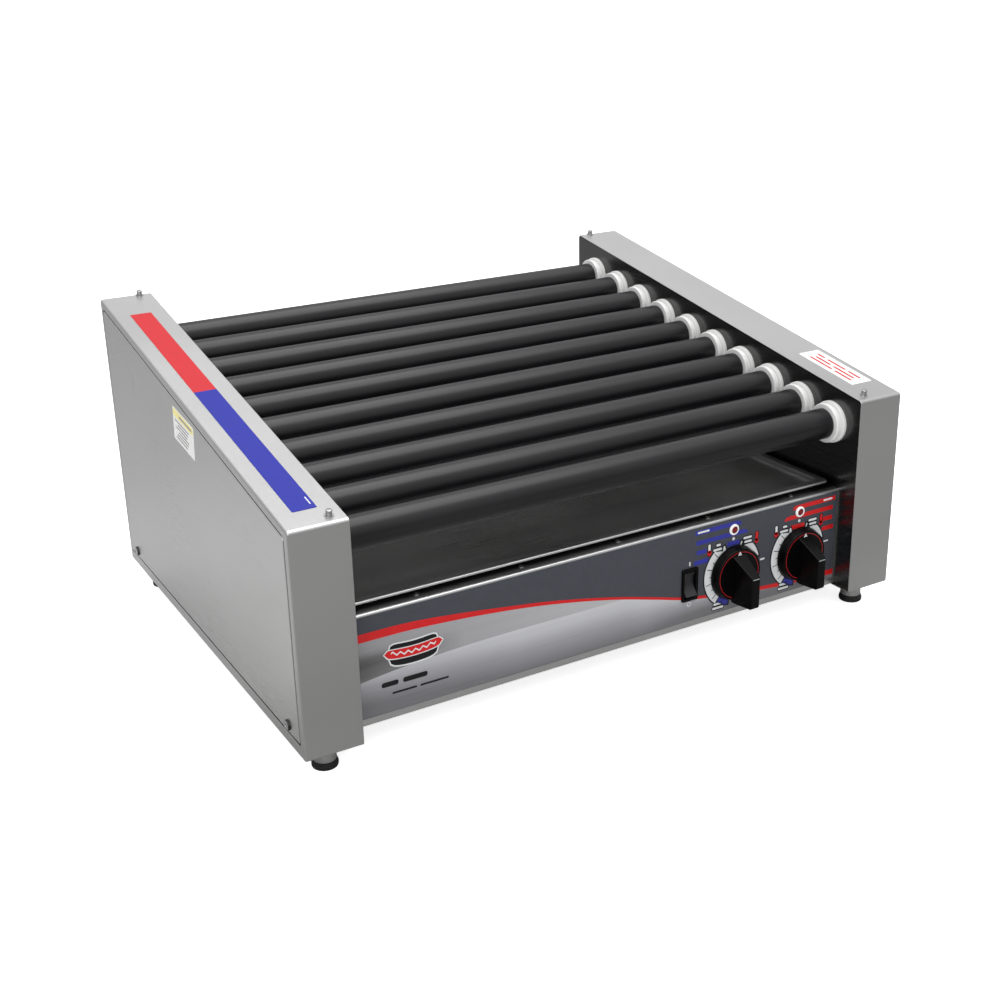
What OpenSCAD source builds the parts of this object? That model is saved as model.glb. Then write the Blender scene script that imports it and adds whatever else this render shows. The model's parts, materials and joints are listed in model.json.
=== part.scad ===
/* [Body] */
// Width across both end housings
body_w = 603; // [598:1:610]
// Depth of the end housings, front to back
body_d = 462.6; // [460:0.2:466]
// Height of the end housings at the front, above the feet
front_h = 189.4; // [188:0.2:191]
// Height of the end housings at the back, above the feet
back_h = 273; // [271:0.5:275]
// Width of each end housing
end_w = 49.5; // [48.5:0.5:52]
// Thickness of the sheet metal
sheet = 1.2; // [1:0.1:1.4]
// Height of the feet
foot_h = 21; // [20:0.5:24]

/* [Rollers] */
// Spacing of the roller axes, along the slope
roller_pitch = 44; // [43.6:0.1:44.4]
// Outer diameter of a roller tube
roller_d = 28.6; // [28:0.1:30]
// Wall thickness of a roller tube
roller_wall = 1.5; // [1.2:0.1:1.8]
// Depth of the roller axes below the sloped top
roller_drop = 34.2; // [33:0.2:36]
// Diameter of the white end seals
seal_d = 39.6; // [38:0.2:40]
// How far the seals stand out of the inner walls
seal_out = 10; // [8:0.5:11]
// How far the left seals stand out from their wall
seal_out_left = 7; // [6:0.5:9]
// Diameter of the journals that turn in the seals
journal_d = 20; // [18:0.5:20]
// Radial running clearance of every turning fit
running = 0.05; // [0.03:0.01:0.08]

/* [Controls] */
// Distance of the front panel behind the front of the end housings
panel_back = 21; // [18:0.5:24]
// Height of the top edge of the front panel above the feet
panel_top = 99.4; // [98:0.2:100]
// Place of the first knob, to the right of the middle
knob_x = 128; // [126:0.5:130]
// Distance between the two knobs
knob_gap = 77.4; // [74:0.2:80]
// Height of the knob axes above the feet
knob_up = 44.8; // [42:0.2:48]
// Radius of the knob skirt
knob_r = 26.5; // [24:0.5:28]
// How far the knobs stand out of the front panel
knob_out = 32; // [28:0.5:34]
// Place of the rocker switch, to the right of the middle
rocker_x = 78; // [74:0.5:80]

/* [Drip tray] */
// Width of the drip tray over its rim
tray_w = 492; // [480:1:496]
// Height of the drip tray's rim above the feet
tray_rim_up = 106.6; // [106.4:0.2:108.4]

/* [Hidden] */
$fn = 48;

steel = "silver";
bright = "gainsboro";
coat = [0.16, 0.16, 0.17];
dark = [0.1, 0.1, 0.11];
hide = 0.01;

// Body frame
inner_x = body_w / 2 - end_w;
outer_x = body_w / 2;
front_y = -body_d / 2;
back_y = body_d / 2;
slope = atan((back_h - front_h) / body_d);
side_profile = [[front_y, foot_h], [back_y, foot_h],
                [back_y, foot_h + back_h], [front_y, foot_h + front_h]];
bend_r = 3.5;
wall_t = 1.5;
border = 7;
border_bottom = 11;
cover_gap = 1.4;
cover_proud = 0.4;
cover_rim = 10;
cover_screw_y = 201;
cover_screw_up = 18.4;
lug_w = 16;
lug_h = 25;

// Roller field: s runs up the slope and t stands square to it
rollers = 10;
field_y = 0;
field_z = top_z(field_y) - roller_drop / cos(slope);
seal_gap = 0.4;
tube_left = -inner_x + seal_out_left + seal_gap;
tube_right = inner_x - seal_out - seal_gap;
tube_r = roller_d / 2;
bore_r = tube_r - roller_wall;
journal_r = journal_d / 2;
plug_l = 12;
hollow_r = 5.5;
wall_hole_r = 12.5;
seal_spigot = 4;

// Chain drive, in the left end housing
chain_pitch = 9.525;
chain_roller_r = 2.54;
chain_x = -inner_x - 14;
chain_inner_w = 4.8;
plate_t = 1.2;
plate_r = 3.6;
tooth_play = 0.25;
tooth_w = 4.3;
roller_teeth = 11;
motor_teeth = 13;
motor_at = [-40, 84];
idler_at = [112, 152];
motor_shaft_r = 6;
idler_pin_r = 4;
motor_plate_t = 2;
wheel_end_x = chain_x - 6;
shaft_hole_r = motor_shaft_r + 3;

// Heating elements
rod_r = 4;
ceramic_r = 5;
bracket_x = inner_x + 27;
rod_half = bracket_x + 4;

// Front panel and what it carries
panel_y = front_y + panel_back;
panel_top_z = foot_h + panel_top;
panel_low_z = foot_h + 2;
flange = 14;
overlay_t = 0.3;
overlay_half = 250;
panel_fold_r = 2.2;
panel_low_r = 1.1;
overlay_z = [foot_h + 8.5, panel_top_z - panel_fold_r];
knob_z = foot_h + knob_up;
knob_base = 1;
skirt_h = 9;
grip_w = 9.2;
grip_base_w = 15;
shaft_r = 3;
bush_r = 5;
pilot_z = foot_h + 86.6;
pilot_shift = -1.2;
pilot_body_r = 4.1;
lens_r = 3.4;
pilot_rim_r = 5.2;
bezel = [17.5, 31.5];
rocker_body = [15.8, 29];
rocker_well = [12.6, 25.4];
rocker_r = 12.4;
rocker_w = 12.2;
rocker_pin_r = 1.5;
rocker_pin_l = 1.2;
rocker_tilt = 10;
rocker_y = panel_y + 1.6;

// Tray, deck, back and bottom
tray_rim_z = foot_h + tray_rim_up;
tray_front_y = front_y + 28.3;
tray_back_y = 205;
tray_rim = 8;
tray_sheet = 1;
deck_z = panel_top_z;
tray_floor_z = deck_z + sheet + 0.3;
back_panel_y = 212;
back_panel_top = 234;
pan_z = panel_low_z + sheet;

// Fasteners, feet and fittings
screw_head_r = 2.8;
screw_head_h = 1;
screw_r = 1.5;
screw_l = 6;
cover_head_r = 4.5;
cover_head_h = 2.2;
deck_screws = 5;
deck_screw_first = -186.8;
deck_screw_gap = 97;
deck_screw_y = panel_y + 9.5;
feet = [[277, -209], [281, 196]];
foot_sleeve_r = 9.5;
foot_pad_r = 10.8;
foot_pad_h = 6;
foot_stud_r = 4;
foot_stud_l = 12;
stud_r = 2.5;
stud_h = 5;
stud_shank_r = 2;
stud_shank_in = 1.5;
stud_collar = [3.8, 0.5];
stud_x = inner_x + 12;
stud_ys = [-221, 226];
gland_at = [190, 62];
gland_end = panel_y - knob_out;
gland_bore_r = 4.5;
gland_body_r = 8;
label_t = 0.25;

function two_digits(k) = k < 10 ? str("0", k) : str(k);
function unit(v) = v / norm(v);
function left_of(v) = [-v[1], v[0]];
function turned(r, a) = r * [cos(a), sin(a)];
function top_z(y) = foot_h + front_h + (y - front_y) * tan(slope);
// Centre of roller k, counted from the front, as [y, z]
function roller_at(k) = [field_y, field_z] + turned((k - (rollers + 1) / 2) * roller_pitch, slope);

// Points of the round corner of radius r at b, between the neighbours a and c
function corner(a, b, c, r, steps = 5) =
    r == 0 ? [b] :
    let (u = unit(a - b), v = unit(c - b),
         half = acos(u * v) / 2,
         centre = b + unit(u + v) * r / sin(half),
         from = b + u * r / tan(half) - centre,
         to = b + v * r / tan(half) - centre,
         start = atan2(from[1], from[0]),
         turn = atan2(from[0] * to[1] - from[1] * to[0], from * to))
    [for (i = [0 : steps]) centre + turned(r, start + turn * i / steps)];
function rounded(pts, radii) =
    let (n = len(pts))
    [for (i = [0 : n - 1])
        each corner(pts[(i + n - 1) % n], pts[i], pts[(i + 1) % n], radii[i])];
// An anticlockwise convex outline moved inwards, by its own distance on each side
function inset(pts, d) =
    let (n = len(pts))
    [for (i = [0 : n - 1])
        let (b = pts[i],
             p = left_of(unit(b - pts[(i + n - 1) % n])),
             q = left_of(unit(pts[(i + 1) % n] - b)),
             k = p * q,
             dp = d[(i + n - 1) % n],
             dq = d[i])
        b + ((dp - dq * k) * p + (dq - dp * k) * q) / (1 - k * k)];
function box_points(lo, hi) = [lo, [hi[0], lo[1]], hi, [lo[0], hi[1]]];

// 2D (y, z) outline pushed along X, and 2D (x, z) outline pushed along Y
module along_x(from, to) {
    translate([from, 0, 0]) rotate([90, 0, 90]) linear_extrude(to - from) children();
}
module along_y(from, to) {
    translate([0, to, 0]) rotate([90, 0, 0]) linear_extrude(to - from) children();
}
// A rod along X, centred on [y, z]
module rod_x(at, r, from, to) {
    translate([from, at[0], at[1]]) rotate([0, 90, 0]) cylinder(r = r, h = to - from);
}
// A rod along Y, centred on [x, z]
module rod_y(at, r, from, to) {
    translate([at[0], to, at[1]]) rotate([90, 0, 0]) cylinder(r = r, h = to - from);
}
// A profile in [radius, x], turned about an axis along X through [y, z]
module turned_x(at, pts) {
    translate([0, at[0], at[1]]) rotate([0, 90, 0]) rotate_extrude() polygon(pts);
}
// A profile in [radius, -y], turned about an axis along Y through [x, z]
module turned_y(at, pts) {
    translate([at[0], 0, at[1]]) rotate([90, 0, 0]) rotate_extrude() polygon(pts);
}
module block(lo, hi) {
    translate(lo) cube(hi - lo);
}
module both_ends() {
    children();
    mirror([1, 0, 0]) children();
}
// Children lie in a frame whose y runs up the slope and whose z stands square to it
module on_slope(at) {
    translate([0, at[0], at[1]]) rotate([slope, 0, 0]) children();
}

// ---- Rollers ----

module roller_tube(k) {
    ease = 0.4;
    color(coat) turned_x(roller_at(k), [
        [bore_r, tube_left], [tube_r - ease, tube_left], [tube_r, tube_left + ease],
        [tube_r, tube_right - ease], [tube_r - ease, tube_right], [bore_r, tube_right]]);
}

// Right hub: a plug in the tube's end and a hollow journal, held by a snap ring
module right_hub(at) {
    ring_x = inner_x + seal_spigot + 1.5;
    ring_r = journal_r + 2.5;
    end_x = ring_x + 4;
    turned_x(at, [
        [hollow_r, tube_right - plug_l], [bore_r, tube_right - plug_l], [bore_r, tube_right],
        [journal_r, tube_right], [journal_r, end_x], [hollow_r, end_x]]);
    turned_x(at, [[journal_r, ring_x], [ring_r, ring_x],
                  [ring_r, ring_x + sheet], [journal_r, ring_x + sheet]]);
}

// Left hub: the same plug and journal, with the sprocket on its end
module left_hub(at, phase) {
    difference() {
        union() {
            turned_x(at, [
                [0, tube_left + plug_l], [bore_r, tube_left + plug_l], [bore_r, tube_left],
                [journal_r, tube_left], [journal_r, wheel_end_x], [0, wheel_end_x]]);
            sprocket_disc(at, roller_teeth, phase);
        }
        rod_x(at, hollow_r, wheel_end_x - 1, tube_left + plug_l + 1);
    }
}

module roller_hubs(k) {
    color(steel) {
        right_hub(roller_at(k));
        left_hub(roller_at(k), roller_phase(k));
    }
}

// Seal and bearing bush in one: two rings with a groove between, and a spigot through the wall
module seal(at, out) {
    seal_r = seal_d / 2;
    tip_x = inner_x - out;
    tip_r = seal_r - 1.2;
    tip_ease = 0.6;
    ring = out * 0.34;
    groove_r = seal_r - 3.4;
    groove_side = 0.8;
    turned_x(at, [
        [journal_r + running, tip_x], [tip_r - tip_ease, tip_x], [tip_r, tip_x + tip_ease],
        [tip_r, tip_x + ring], [groove_r, tip_x + ring + groove_side],
        [groove_r, inner_x - ring - groove_side], [seal_r, inner_x - ring],
        [seal_r, inner_x], [wall_hole_r, inner_x], [wall_hole_r, inner_x + seal_spigot],
        [journal_r + running, inner_x + seal_spigot]]);
}
module roller_seals(out) {
    color("white") for (k = [1 : rollers]) seal(roller_at(k), out);
}

// ---- End housings ----

band_outer = rounded(side_profile, [1.5, 1.5, bend_r, bend_r]);
band_inside = inset(side_profile, [sheet, sheet, sheet, sheet]);
band_inner = rounded(band_inside, [0.5, 0.5, bend_r - sheet, bend_r - sheet]);
opening = inset(side_profile, [border_bottom, border, border, border]);
opening_r = 5;
cover_edge = inset(opening, [cover_gap, cover_gap, cover_gap, cover_gap]);

module end_housing() {
    color(bright) difference() {
        union() {
            along_x(inner_x, outer_x) difference() {
                polygon(band_outer);
                polygon(band_inner);
            }
            along_x(outer_x - sheet, outer_x) difference() {
                polygon(band_outer);
                polygon(rounded(opening, [1, 1, opening_r, opening_r]));
            }
            // Lugs that the side cover's screws go into
            for (s = [-1, 1]) block(
                [outer_x + cover_proud - 2 * sheet - 0.1, s * cover_screw_y - lug_w / 2, foot_h],
                [outer_x + cover_proud - sheet - 0.1, s * cover_screw_y + lug_w / 2, foot_h + lug_h]);
        }
        for (at = feet) translate([at[0], at[1], foot_h - 1]) cylinder(r = foot_stud_r, h = sheet + 2);
        for (s = [-1, 1]) rod_x([s * cover_screw_y, foot_h + cover_screw_up], screw_r,
                                outer_x - 10, outer_x + 1);
        for (y = stud_ys) stud_at(y) translate([0, 0, -5]) cylinder(r = stud_shank_r, h = 10);
    }
}

module inner_wall_plate() {
    cable_hole_at = [150, foot_h + 50];
    cable_hole_r = 9;
    along_x(inner_x, inner_x + wall_t) difference() {
        polygon(band_inner);
        for (k = [1 : rollers]) translate(roller_at(k)) circle(r = wall_hole_r);
        // Cable pass-through into the control space
        translate(cable_hole_at) circle(r = cable_hole_r);
    }
}
module left_inner_wall() {
    color(steel) difference() {
        mirror([1, 0, 0]) inner_wall_plate();
        rod_x(motor_at, shaft_hole_r, -inner_x - 5, -inner_x + 5);
    }
}

module side_cover() {
    x = outer_x + cover_proud;
    radii = [1, 1, opening_r - cover_gap, opening_r - cover_gap];
    inner = inset(cover_edge, [0, sheet, sheet, sheet]);
    color(bright) difference() {
        union() {
            along_x(x - sheet, x) polygon(rounded(cover_edge, radii));
            along_x(x - cover_rim, x - sheet / 2) difference() {
                polygon(rounded(cover_edge, radii));
                polygon(rounded(inner, [0, 0, radii[2] - sheet, radii[3] - sheet]));
                translate([front_y, 0]) square([body_d, foot_h + lug_h + 5]);
            }
        }
        for (s = [-1, 1]) rod_x([s * cover_screw_y, foot_h + cover_screw_up], screw_r,
                                outer_x - 10, outer_x + 1);
    }
}

// ---- Front panel, back panel, bottom and deck ----

// A sheet with a flange folded back along its top and its bottom
function channel(y, z_lo, z_hi, depth) =
    let (in = y + sheet * sign(depth))
    [[y + depth, z_lo], [y + depth, z_lo + sheet], [in, z_lo + sheet], [in, z_hi - sheet],
     [y + depth, z_hi - sheet], [y + depth, z_hi], [y, z_hi], [y, z_lo]];

module knob_places() {
    for (x = [knob_x, knob_x + knob_gap]) translate([x, 0, 0]) children();
}
module pilot_places() {
    translate([pilot_shift, 0, 0]) knob_places() children();
}

module panel_cuts(from, to) {
    knob_places() rod_y([0, knob_z], bush_r, from, to);
    pilot_places() rod_y([0, pilot_z], pilot_body_r, from, to);
    block([rocker_x - rocker_body[0] / 2, from, knob_z - rocker_body[1] / 2],
          [rocker_x + rocker_body[0] / 2, to, knob_z + rocker_body[1] / 2]);
}

module front_panel() {
    color(bright) difference() {
        along_x(-inner_x, inner_x)
            polygon(rounded(channel(panel_y, panel_low_z, panel_top_z, flange),
                            [0, 0, 0, panel_fold_r - sheet, 0, 0, panel_fold_r, panel_low_r]));
        panel_cuts(panel_y - 1, panel_y + sheet + 1);
        deck_screw_places() translate([0, 0, -10]) cylinder(r = screw_r, h = 20);
    }
}

module panel_overlay() {
    color([0.27, 0.3, 0.33]) difference() {
        along_y(panel_y - overlay_t, panel_y) polygon(rounded(
            box_points([-overlay_half, overlay_z[0]], [overlay_half, overlay_z[1]]), [1, 1, 1, 1]));
        panel_cuts(panel_y - 1, panel_y + 1);
    }
}

module back_panel() {
    vent = [44, 4];
    vent_gap = [62, 12];
    vent_low = 48;
    fold = 7;
    fold_r = 1.1;
    color(steel) difference() {
        along_x(-inner_x, inner_x)
            polygon(rounded(channel(back_panel_y + sheet, panel_low_z, back_panel_top, -fold),
                            [0, 0, 0, 0, 0, 0, fold_r, fold_r]));
        rod_y(gland_at, gland_body_r, back_panel_y - 1, back_panel_y + 2);
        for (i = [-2.5 : 0.5], j = [0 : 3])
            block([i * vent_gap[0], back_panel_y - 1, vent_low + j * vent_gap[1]],
                  [i * vent_gap[0] + vent[0], back_panel_y + 3, vent_low + j * vent_gap[1] + vent[1]]);
        back_screw_places() rod_y([0, 0], screw_r, back_panel_y - 1, back_panel_y + 3);
    }
}

module bottom_pan() {
    slot = [6, 50];
    slot_gap = 22;
    lip = 10;
    lip_from_end = 20;
    color(steel) difference() {
        union() {
            block([-inner_x, panel_y + sheet, pan_z], [inner_x, back_panel_y, pan_z + sheet]);
            both_ends() block([inner_x - sheet, panel_y + sheet + lip_from_end, pan_z],
                              [inner_x, back_panel_y - lip_from_end, pan_z + lip]);
        }
        for (i = [-7 : 7], y = [-120, 60])
            block([i * slot_gap - slot[0] / 2, y, pan_z - 1],
                  [i * slot_gap + slot[0] / 2, y + slot[1], pan_z + sheet + 1]);
    }
}

module tray_deck() {
    front = deck_screw_y + screw_head_r + 0.2;
    color(steel) block([-inner_x, front, deck_z], [inner_x, back_panel_y, deck_z + sheet]);
}

module drip_tray() {
    hem = 2.4;
    wall_r = 6;
    rim_r = 5;
    rim_lo = [-tray_w / 2, tray_front_y];
    rim_hi = [tray_w / 2, tray_back_y];
    rim = box_points(rim_lo, rim_hi);
    wall = inset(rim, [tray_rim, tray_rim, tray_rim, tray_rim]);
    module ring(z, h, outer, outer_r, t) {
        translate([0, 0, z]) linear_extrude(h) difference() {
            polygon(rounded(outer, [outer_r, outer_r, outer_r, outer_r]));
            polygon(rounded(inset(outer, [t, t, t, t]),
                            [outer_r - t, outer_r - t, outer_r - t, outer_r - t]));
        }
    }
    color(bright) {
        translate([0, 0, tray_floor_z]) linear_extrude(tray_sheet)
            polygon(rounded(wall, [wall_r, wall_r, wall_r, wall_r]));
        ring(tray_floor_z, tray_rim_z - tray_floor_z, wall, wall_r, tray_sheet);
        translate([0, 0, tray_rim_z - tray_sheet]) linear_extrude(tray_sheet) difference() {
            polygon(rounded(rim, [rim_r, rim_r, rim_r, rim_r]));
            polygon(rounded(inset(wall, [tray_sheet, tray_sheet, tray_sheet, tray_sheet]),
                            [rim_r, rim_r, rim_r, rim_r]));
        }
        ring(tray_rim_z - hem, hem, rim, rim_r, tray_sheet);
    }
}

// ---- Heating elements ----

module heating_element(at) {
    ceramic_from = bracket_x - 6;
    pin_r = 1.6;
    pin_end = rod_half + 6;
    color([0.45, 0.42, 0.4]) both_ends() turned_x(at, [
        [0, 0], [rod_r, 0], [rod_r, ceramic_from], [ceramic_r, ceramic_from],
        [ceramic_r, rod_half], [pin_r, rod_half], [pin_r, pin_end], [0, pin_end]]);
}

// Strip along the row of rods, with a leg at each end back to the inner wall
module element_bracket() {
    half_l = 225;
    half_h = 11;
    hole_r = ceramic_r + 0.1;
    color(steel) on_slope([field_y, field_z]) difference() {
        union() {
            block([bracket_x, -half_l, -half_h], [bracket_x + sheet, half_l, half_h]);
            for (s = [-1, 1]) block(
                [inner_x + wall_t, s * half_l - (s + 1) / 2 * sheet, -half_h],
                [bracket_x + sheet, s * half_l - (s - 1) / 2 * sheet, half_h]);
        }
        for (k = [1 : rollers])
            rod_x([(k - (rollers + 1) / 2) * roller_pitch, 0], hole_r, bracket_x - 1, bracket_x + 5);
    }
}

// ---- Chain drive ----

function pitch_r(teeth) = chain_pitch / (2 * sin(180 / teeth));

// The wheels that the chain wraps, anticlockwise seen from the right: [centre, teeth]
wheels = [[roller_at(1), roller_teeth], [motor_at, motor_teeth],
          [idler_at, roller_teeth], [roller_at(rollers), roller_teeth]];
function next_wheel(i) = wheels[(i + 1) % len(wheels)];
function gap_to_next(i) = next_wheel(i)[0] - wheels[i][0];
// Direction square to the straight run from wheel i to the next one, pointing out of the loop
function run_angle(i) =
    let (d = gap_to_next(i), ri = pitch_r(wheels[i][1]), rj = pitch_r(next_wheel(i)[1]))
    atan2(d[1], d[0]) - acos((ri - rj) / norm(d));
function run_start(i) = wheels[i][0] + turned(pitch_r(wheels[i][1]), run_angle(i));
function run_end(i) = next_wheel(i)[0] + turned(pitch_r(next_wheel(i)[1]), run_angle(i));
function run_l(i) = norm(run_end(i) - run_start(i));
function wrap_start(i) = run_angle((i + len(wheels) - 1) % len(wheels));
function wrap(i) = (run_angle(i) - wrap_start(i) + 720) % 360;
function sum_to(list, n) = n == 0 ? 0 : list[n - 1] + sum_to(list, n - 1);

wraps = [for (i = [0 : 3]) wrap(i) * wheels[i][1] / 360];
runs = [for (i = [0 : 3]) run_l(i) / chain_pitch];
links = 2 * round((sum_to(wraps, 4) + sum_to(runs, 4)) / 2);
// The straight runs take up the last fraction of a link
take_up = (links - sum_to(wraps, 4)) / sum_to(runs, 4);
// Links passed at the start of each wrap
wrap_at = [for (i = [0 : 4]) sum_to(wraps, i) + take_up * sum_to(runs, i)];

// Centre of chain roller u, counted from the start of the first wrap, as [y, z]
function chain_point(u) =
    let (i = u >= wrap_at[3] ? 3 : u >= wrap_at[2] ? 2 : u >= wrap_at[1] ? 1 : 0,
         past = u - wrap_at[i])
    past < wraps[i]
        ? wheels[i][0] + turned(pitch_r(wheels[i][1]), wrap_start(i) + past * 360 / wheels[i][1])
        : run_start(i) + (run_end(i) - run_start(i)) * (past - wraps[i]) / (runs[i] * take_up);

// Angle of the first tooth gap of a wrapped wheel, so that the chain sits in it
function wheel_phase(i) = wrap_start(i) + (ceil(wrap_at[i]) - wrap_at[i]) * 360 / wheels[i][1];
// The same for a roller between the first and the last, which the straight top run crosses
function crossing(k) = wrap_at[3] + wraps[3]
    + take_up * norm(roller_at(rollers) - roller_at(k)) / chain_pitch;
function roller_phase(k) =
    k == 1 ? wheel_phase(0) :
    k == rollers ? wheel_phase(3) :
    run_angle(3) + (round(crossing(k)) - crossing(k)) * 360 / roller_teeth;

// Outline of a sprocket: round seats, and flanks that let a chain roller swing out of its seat
function sprocket_points(teeth, phase) =
    let (step = 360 / teeth, pr = pitch_r(teeth), seat_r = chain_roller_r + tooth_play,
         flank_r = chain_pitch - seat_r, tip_r = chain_pitch * (0.3 + 0.5 / tan(180 / teeth)),
         lean = asin((tip_r - pr * cos(step / 2)) / flank_r))
    [for (i = [0 : teeth - 1])
        let (a = phase + i * step)
        each concat(
            [for (j = [0 : 5])
                turned(pr, a) + turned(seat_r, a + 270 - step / 2 - j / 5 * (180 - step))],
            [for (j = [1 : 2]) turned(pr, a + step) + turned(flank_r, a + step / 2 - 90 + lean * j / 2)],
            [for (j = [2, 1]) turned(pr, a) + turned(flank_r, a + step / 2 + 90 - lean * j / 2)])];

module sprocket_disc(at, teeth, phase) {
    translate([0, at[0], at[1]]) along_x(chain_x - tooth_w / 2, chain_x + tooth_w / 2)
        polygon(sprocket_points(teeth, phase));
}

// Outline of a link plate between two chain rollers
function link_points(a, b) =
    let (d = b - a, turn = atan2(d[1], d[0]))
    concat([for (j = [0 : 4]) b + turned(plate_r, turn - 90 + j * 45)],
           [for (j = [0 : 4]) a + turned(plate_r, turn + 90 + j * 45)]);

module drive_chain() {
    half = chain_inner_w / 2;
    color([0.35, 0.33, 0.3]) for (u = [0 : links - 1]) {
        layer = half + (u % 2) * plate_t;
        outline = link_points(chain_point(u), chain_point((u + 1) % links));
        rod_x(chain_point(u), chain_roller_r, chain_x - half, chain_x + half);
        for (s = [-1, 1]) along_x(chain_x + s * (layer + plate_t / 2) - plate_t / 2,
                                  chain_x + s * (layer + plate_t / 2) + plate_t / 2)
            polygon(outline);
    }
}

module motor_sprocket() {
    shaft_in = 18;
    hub_r = motor_shaft_r + 5;
    hub = [-4, 5];
    color(steel) {
        rod_x(motor_at, motor_shaft_r, wheel_end_x, -inner_x + shaft_in);
        rod_x(motor_at, hub_r, chain_x + hub[0], chain_x + hub[1]);
        sprocket_disc(motor_at, motor_teeth, wheel_phase(1));
    }
}

module idler_sprocket() {
    hub_r = 9;
    hub_half = 4;
    color(steel) difference() {
        union() {
            rod_x(idler_at, hub_r, chain_x - hub_half, chain_x + hub_half);
            sprocket_disc(idler_at, roller_teeth, wheel_phase(2));
        }
        rod_x(idler_at, idler_pin_r + running, chain_x - hub_half - 1, chain_x + hub_half + 1);
    }
}

// Arm on the inner wall with the idler's pin, which a washer closes
module tensioner_arm() {
    pivot = idler_at + [-46, -26];
    arm_t = 3;
    arm_half = 8;
    idler_boss_r = 9;
    pivot_boss_r = 11;
    bolt_r = 4;
    washer_r = idler_pin_r + 3;
    washer_t = 1.4;
    from = -inner_x - wall_t - arm_t;
    color(steel) {
        along_x(from, from + arm_t) difference() {
            union() {
                translate(idler_at) circle(r = idler_boss_r);
                translate(pivot) circle(r = pivot_boss_r);
                polygon([for (s = [-1, 1], end = s < 0 ? [pivot, idler_at] : [idler_at, pivot])
                    end + s * arm_half * left_of(unit(idler_at - pivot))]);
            }
            translate(pivot) circle(r = bolt_r);
        }
        rod_x(idler_at, idler_pin_r, wheel_end_x, from + 1);
        rod_x(idler_at, washer_r, wheel_end_x, wheel_end_x + washer_t);
    }
}

module motor_bracket() {
    half = 44;
    low = pan_z + 12;
    high = deck_z - 6;
    color(steel) difference() {
        block([-inner_x, motor_at[0] - half, low],
              [-inner_x + motor_plate_t, motor_at[0] + half, high]);
        rod_x(motor_at, shaft_hole_r, -inner_x - 5, -inner_x + 5);
    }
}

module gearmotor() {
    face = -inner_x + motor_plate_t;
    box_half = 34;
    box_low = pan_z + 16;
    box_high = deck_z - 10;
    box_end = face + 36;
    shaft_depth = 20;
    can_at = motor_at + [0, -6];
    can_r = 27;
    can_end = box_end + 60;
    cap_r = 20;
    cap_t = 6;
    color([0.3, 0.31, 0.33]) difference() {
        union() {
            block([face, motor_at[0] - box_half, box_low],
                  [box_end, motor_at[0] + box_half, box_high]);
            rod_x(can_at, can_r, box_end, can_end);
            rod_x(can_at, cap_r, can_end, can_end + cap_t);
        }
        rod_x(motor_at, motor_shaft_r + running, face - 1, face + shaft_depth);
    }
}

// ---- Knobs, controls and lamps ----

module knob(x) {
    skirt_y = -panel_y + knob_base;
    skirt_lip = 1;
    face_y = -panel_y + skirt_h;
    face_r = knob_r - 1.8;
    face_ease = 0.8;
    front = -panel_y + knob_out;
    root_y = -face_y + 0.5;
    grip_low = -knob_r + 0.6;
    grip_top = 5.4;
    grip_foot = 19;
    hollow_wall = 4.5;
    hollow_depth = 5;
    shaft_depth = 20;
    color(dark) difference() {
        union() {
            turned_y([x, knob_z], [
                [0, skirt_y], [knob_r, skirt_y], [knob_r, skirt_y + skirt_lip],
                [face_r, face_y - face_ease], [face_r - face_ease, face_y], [0, face_y]]);
            // Grip: a bar with sloping sides, whose top end slopes down to the pointer
            intersection() {
                translate([x, 0, knob_z]) linear_extrude(2 * knob_r, center = true) polygon([
                    [-grip_base_w / 2, root_y], [-grip_w / 2, -front],
                    [grip_w / 2, -front], [grip_base_w / 2, root_y]]);
                along_x(x - grip_base_w, x + grip_base_w) translate([0, knob_z]) polygon([
                    [root_y, grip_low + 0.4], [-face_y - 3, grip_low], [-front + 1.5, grip_low + 0.8],
                    [-front, grip_low + 2.4], [-front, grip_top], [root_y, grip_foot]]);
            }
        }
        rod_y([x, knob_z], knob_r - hollow_wall, panel_y - hollow_depth, panel_y);
        rod_y([x, knob_z], shaft_r, panel_y - shaft_depth, panel_y);
    }
}

module control_shaft(x) {
    out = 20;
    in = 18;
    color(steel) rod_y([x, knob_z], shaft_r, panel_y - out, panel_y + in);
}

module heat_controls() {
    nut_r = 8.1;
    nut_h = 2.6;
    bush_out = 3.8;
    half_w = 18;
    half_h = 15;
    body_back = panel_y + 26;
    tab_x = 10;
    tab_half = 3;
    tab_l = 8;
    color([0.7, 0.68, 0.62]) knob_places() difference() {
        union() {
            block([-half_w, panel_y + sheet, knob_z - half_h], [half_w, body_back, knob_z + half_h]);
            rod_y([0, knob_z], bush_r, panel_y - bush_out, panel_y + sheet);
            translate([0, panel_y - overlay_t, knob_z]) rotate([90, 0, 0])
                cylinder(r = nut_r, h = nut_h, $fn = 6);
            for (s = [-1, 1]) block([s * tab_x - tab_half, body_back, knob_z - 1],
                                    [s * tab_x + tab_half, body_back + tab_l, knob_z]);
        }
        rod_y([0, knob_z], shaft_r + running, panel_y - 5, panel_y + 20);
    }
}

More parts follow.
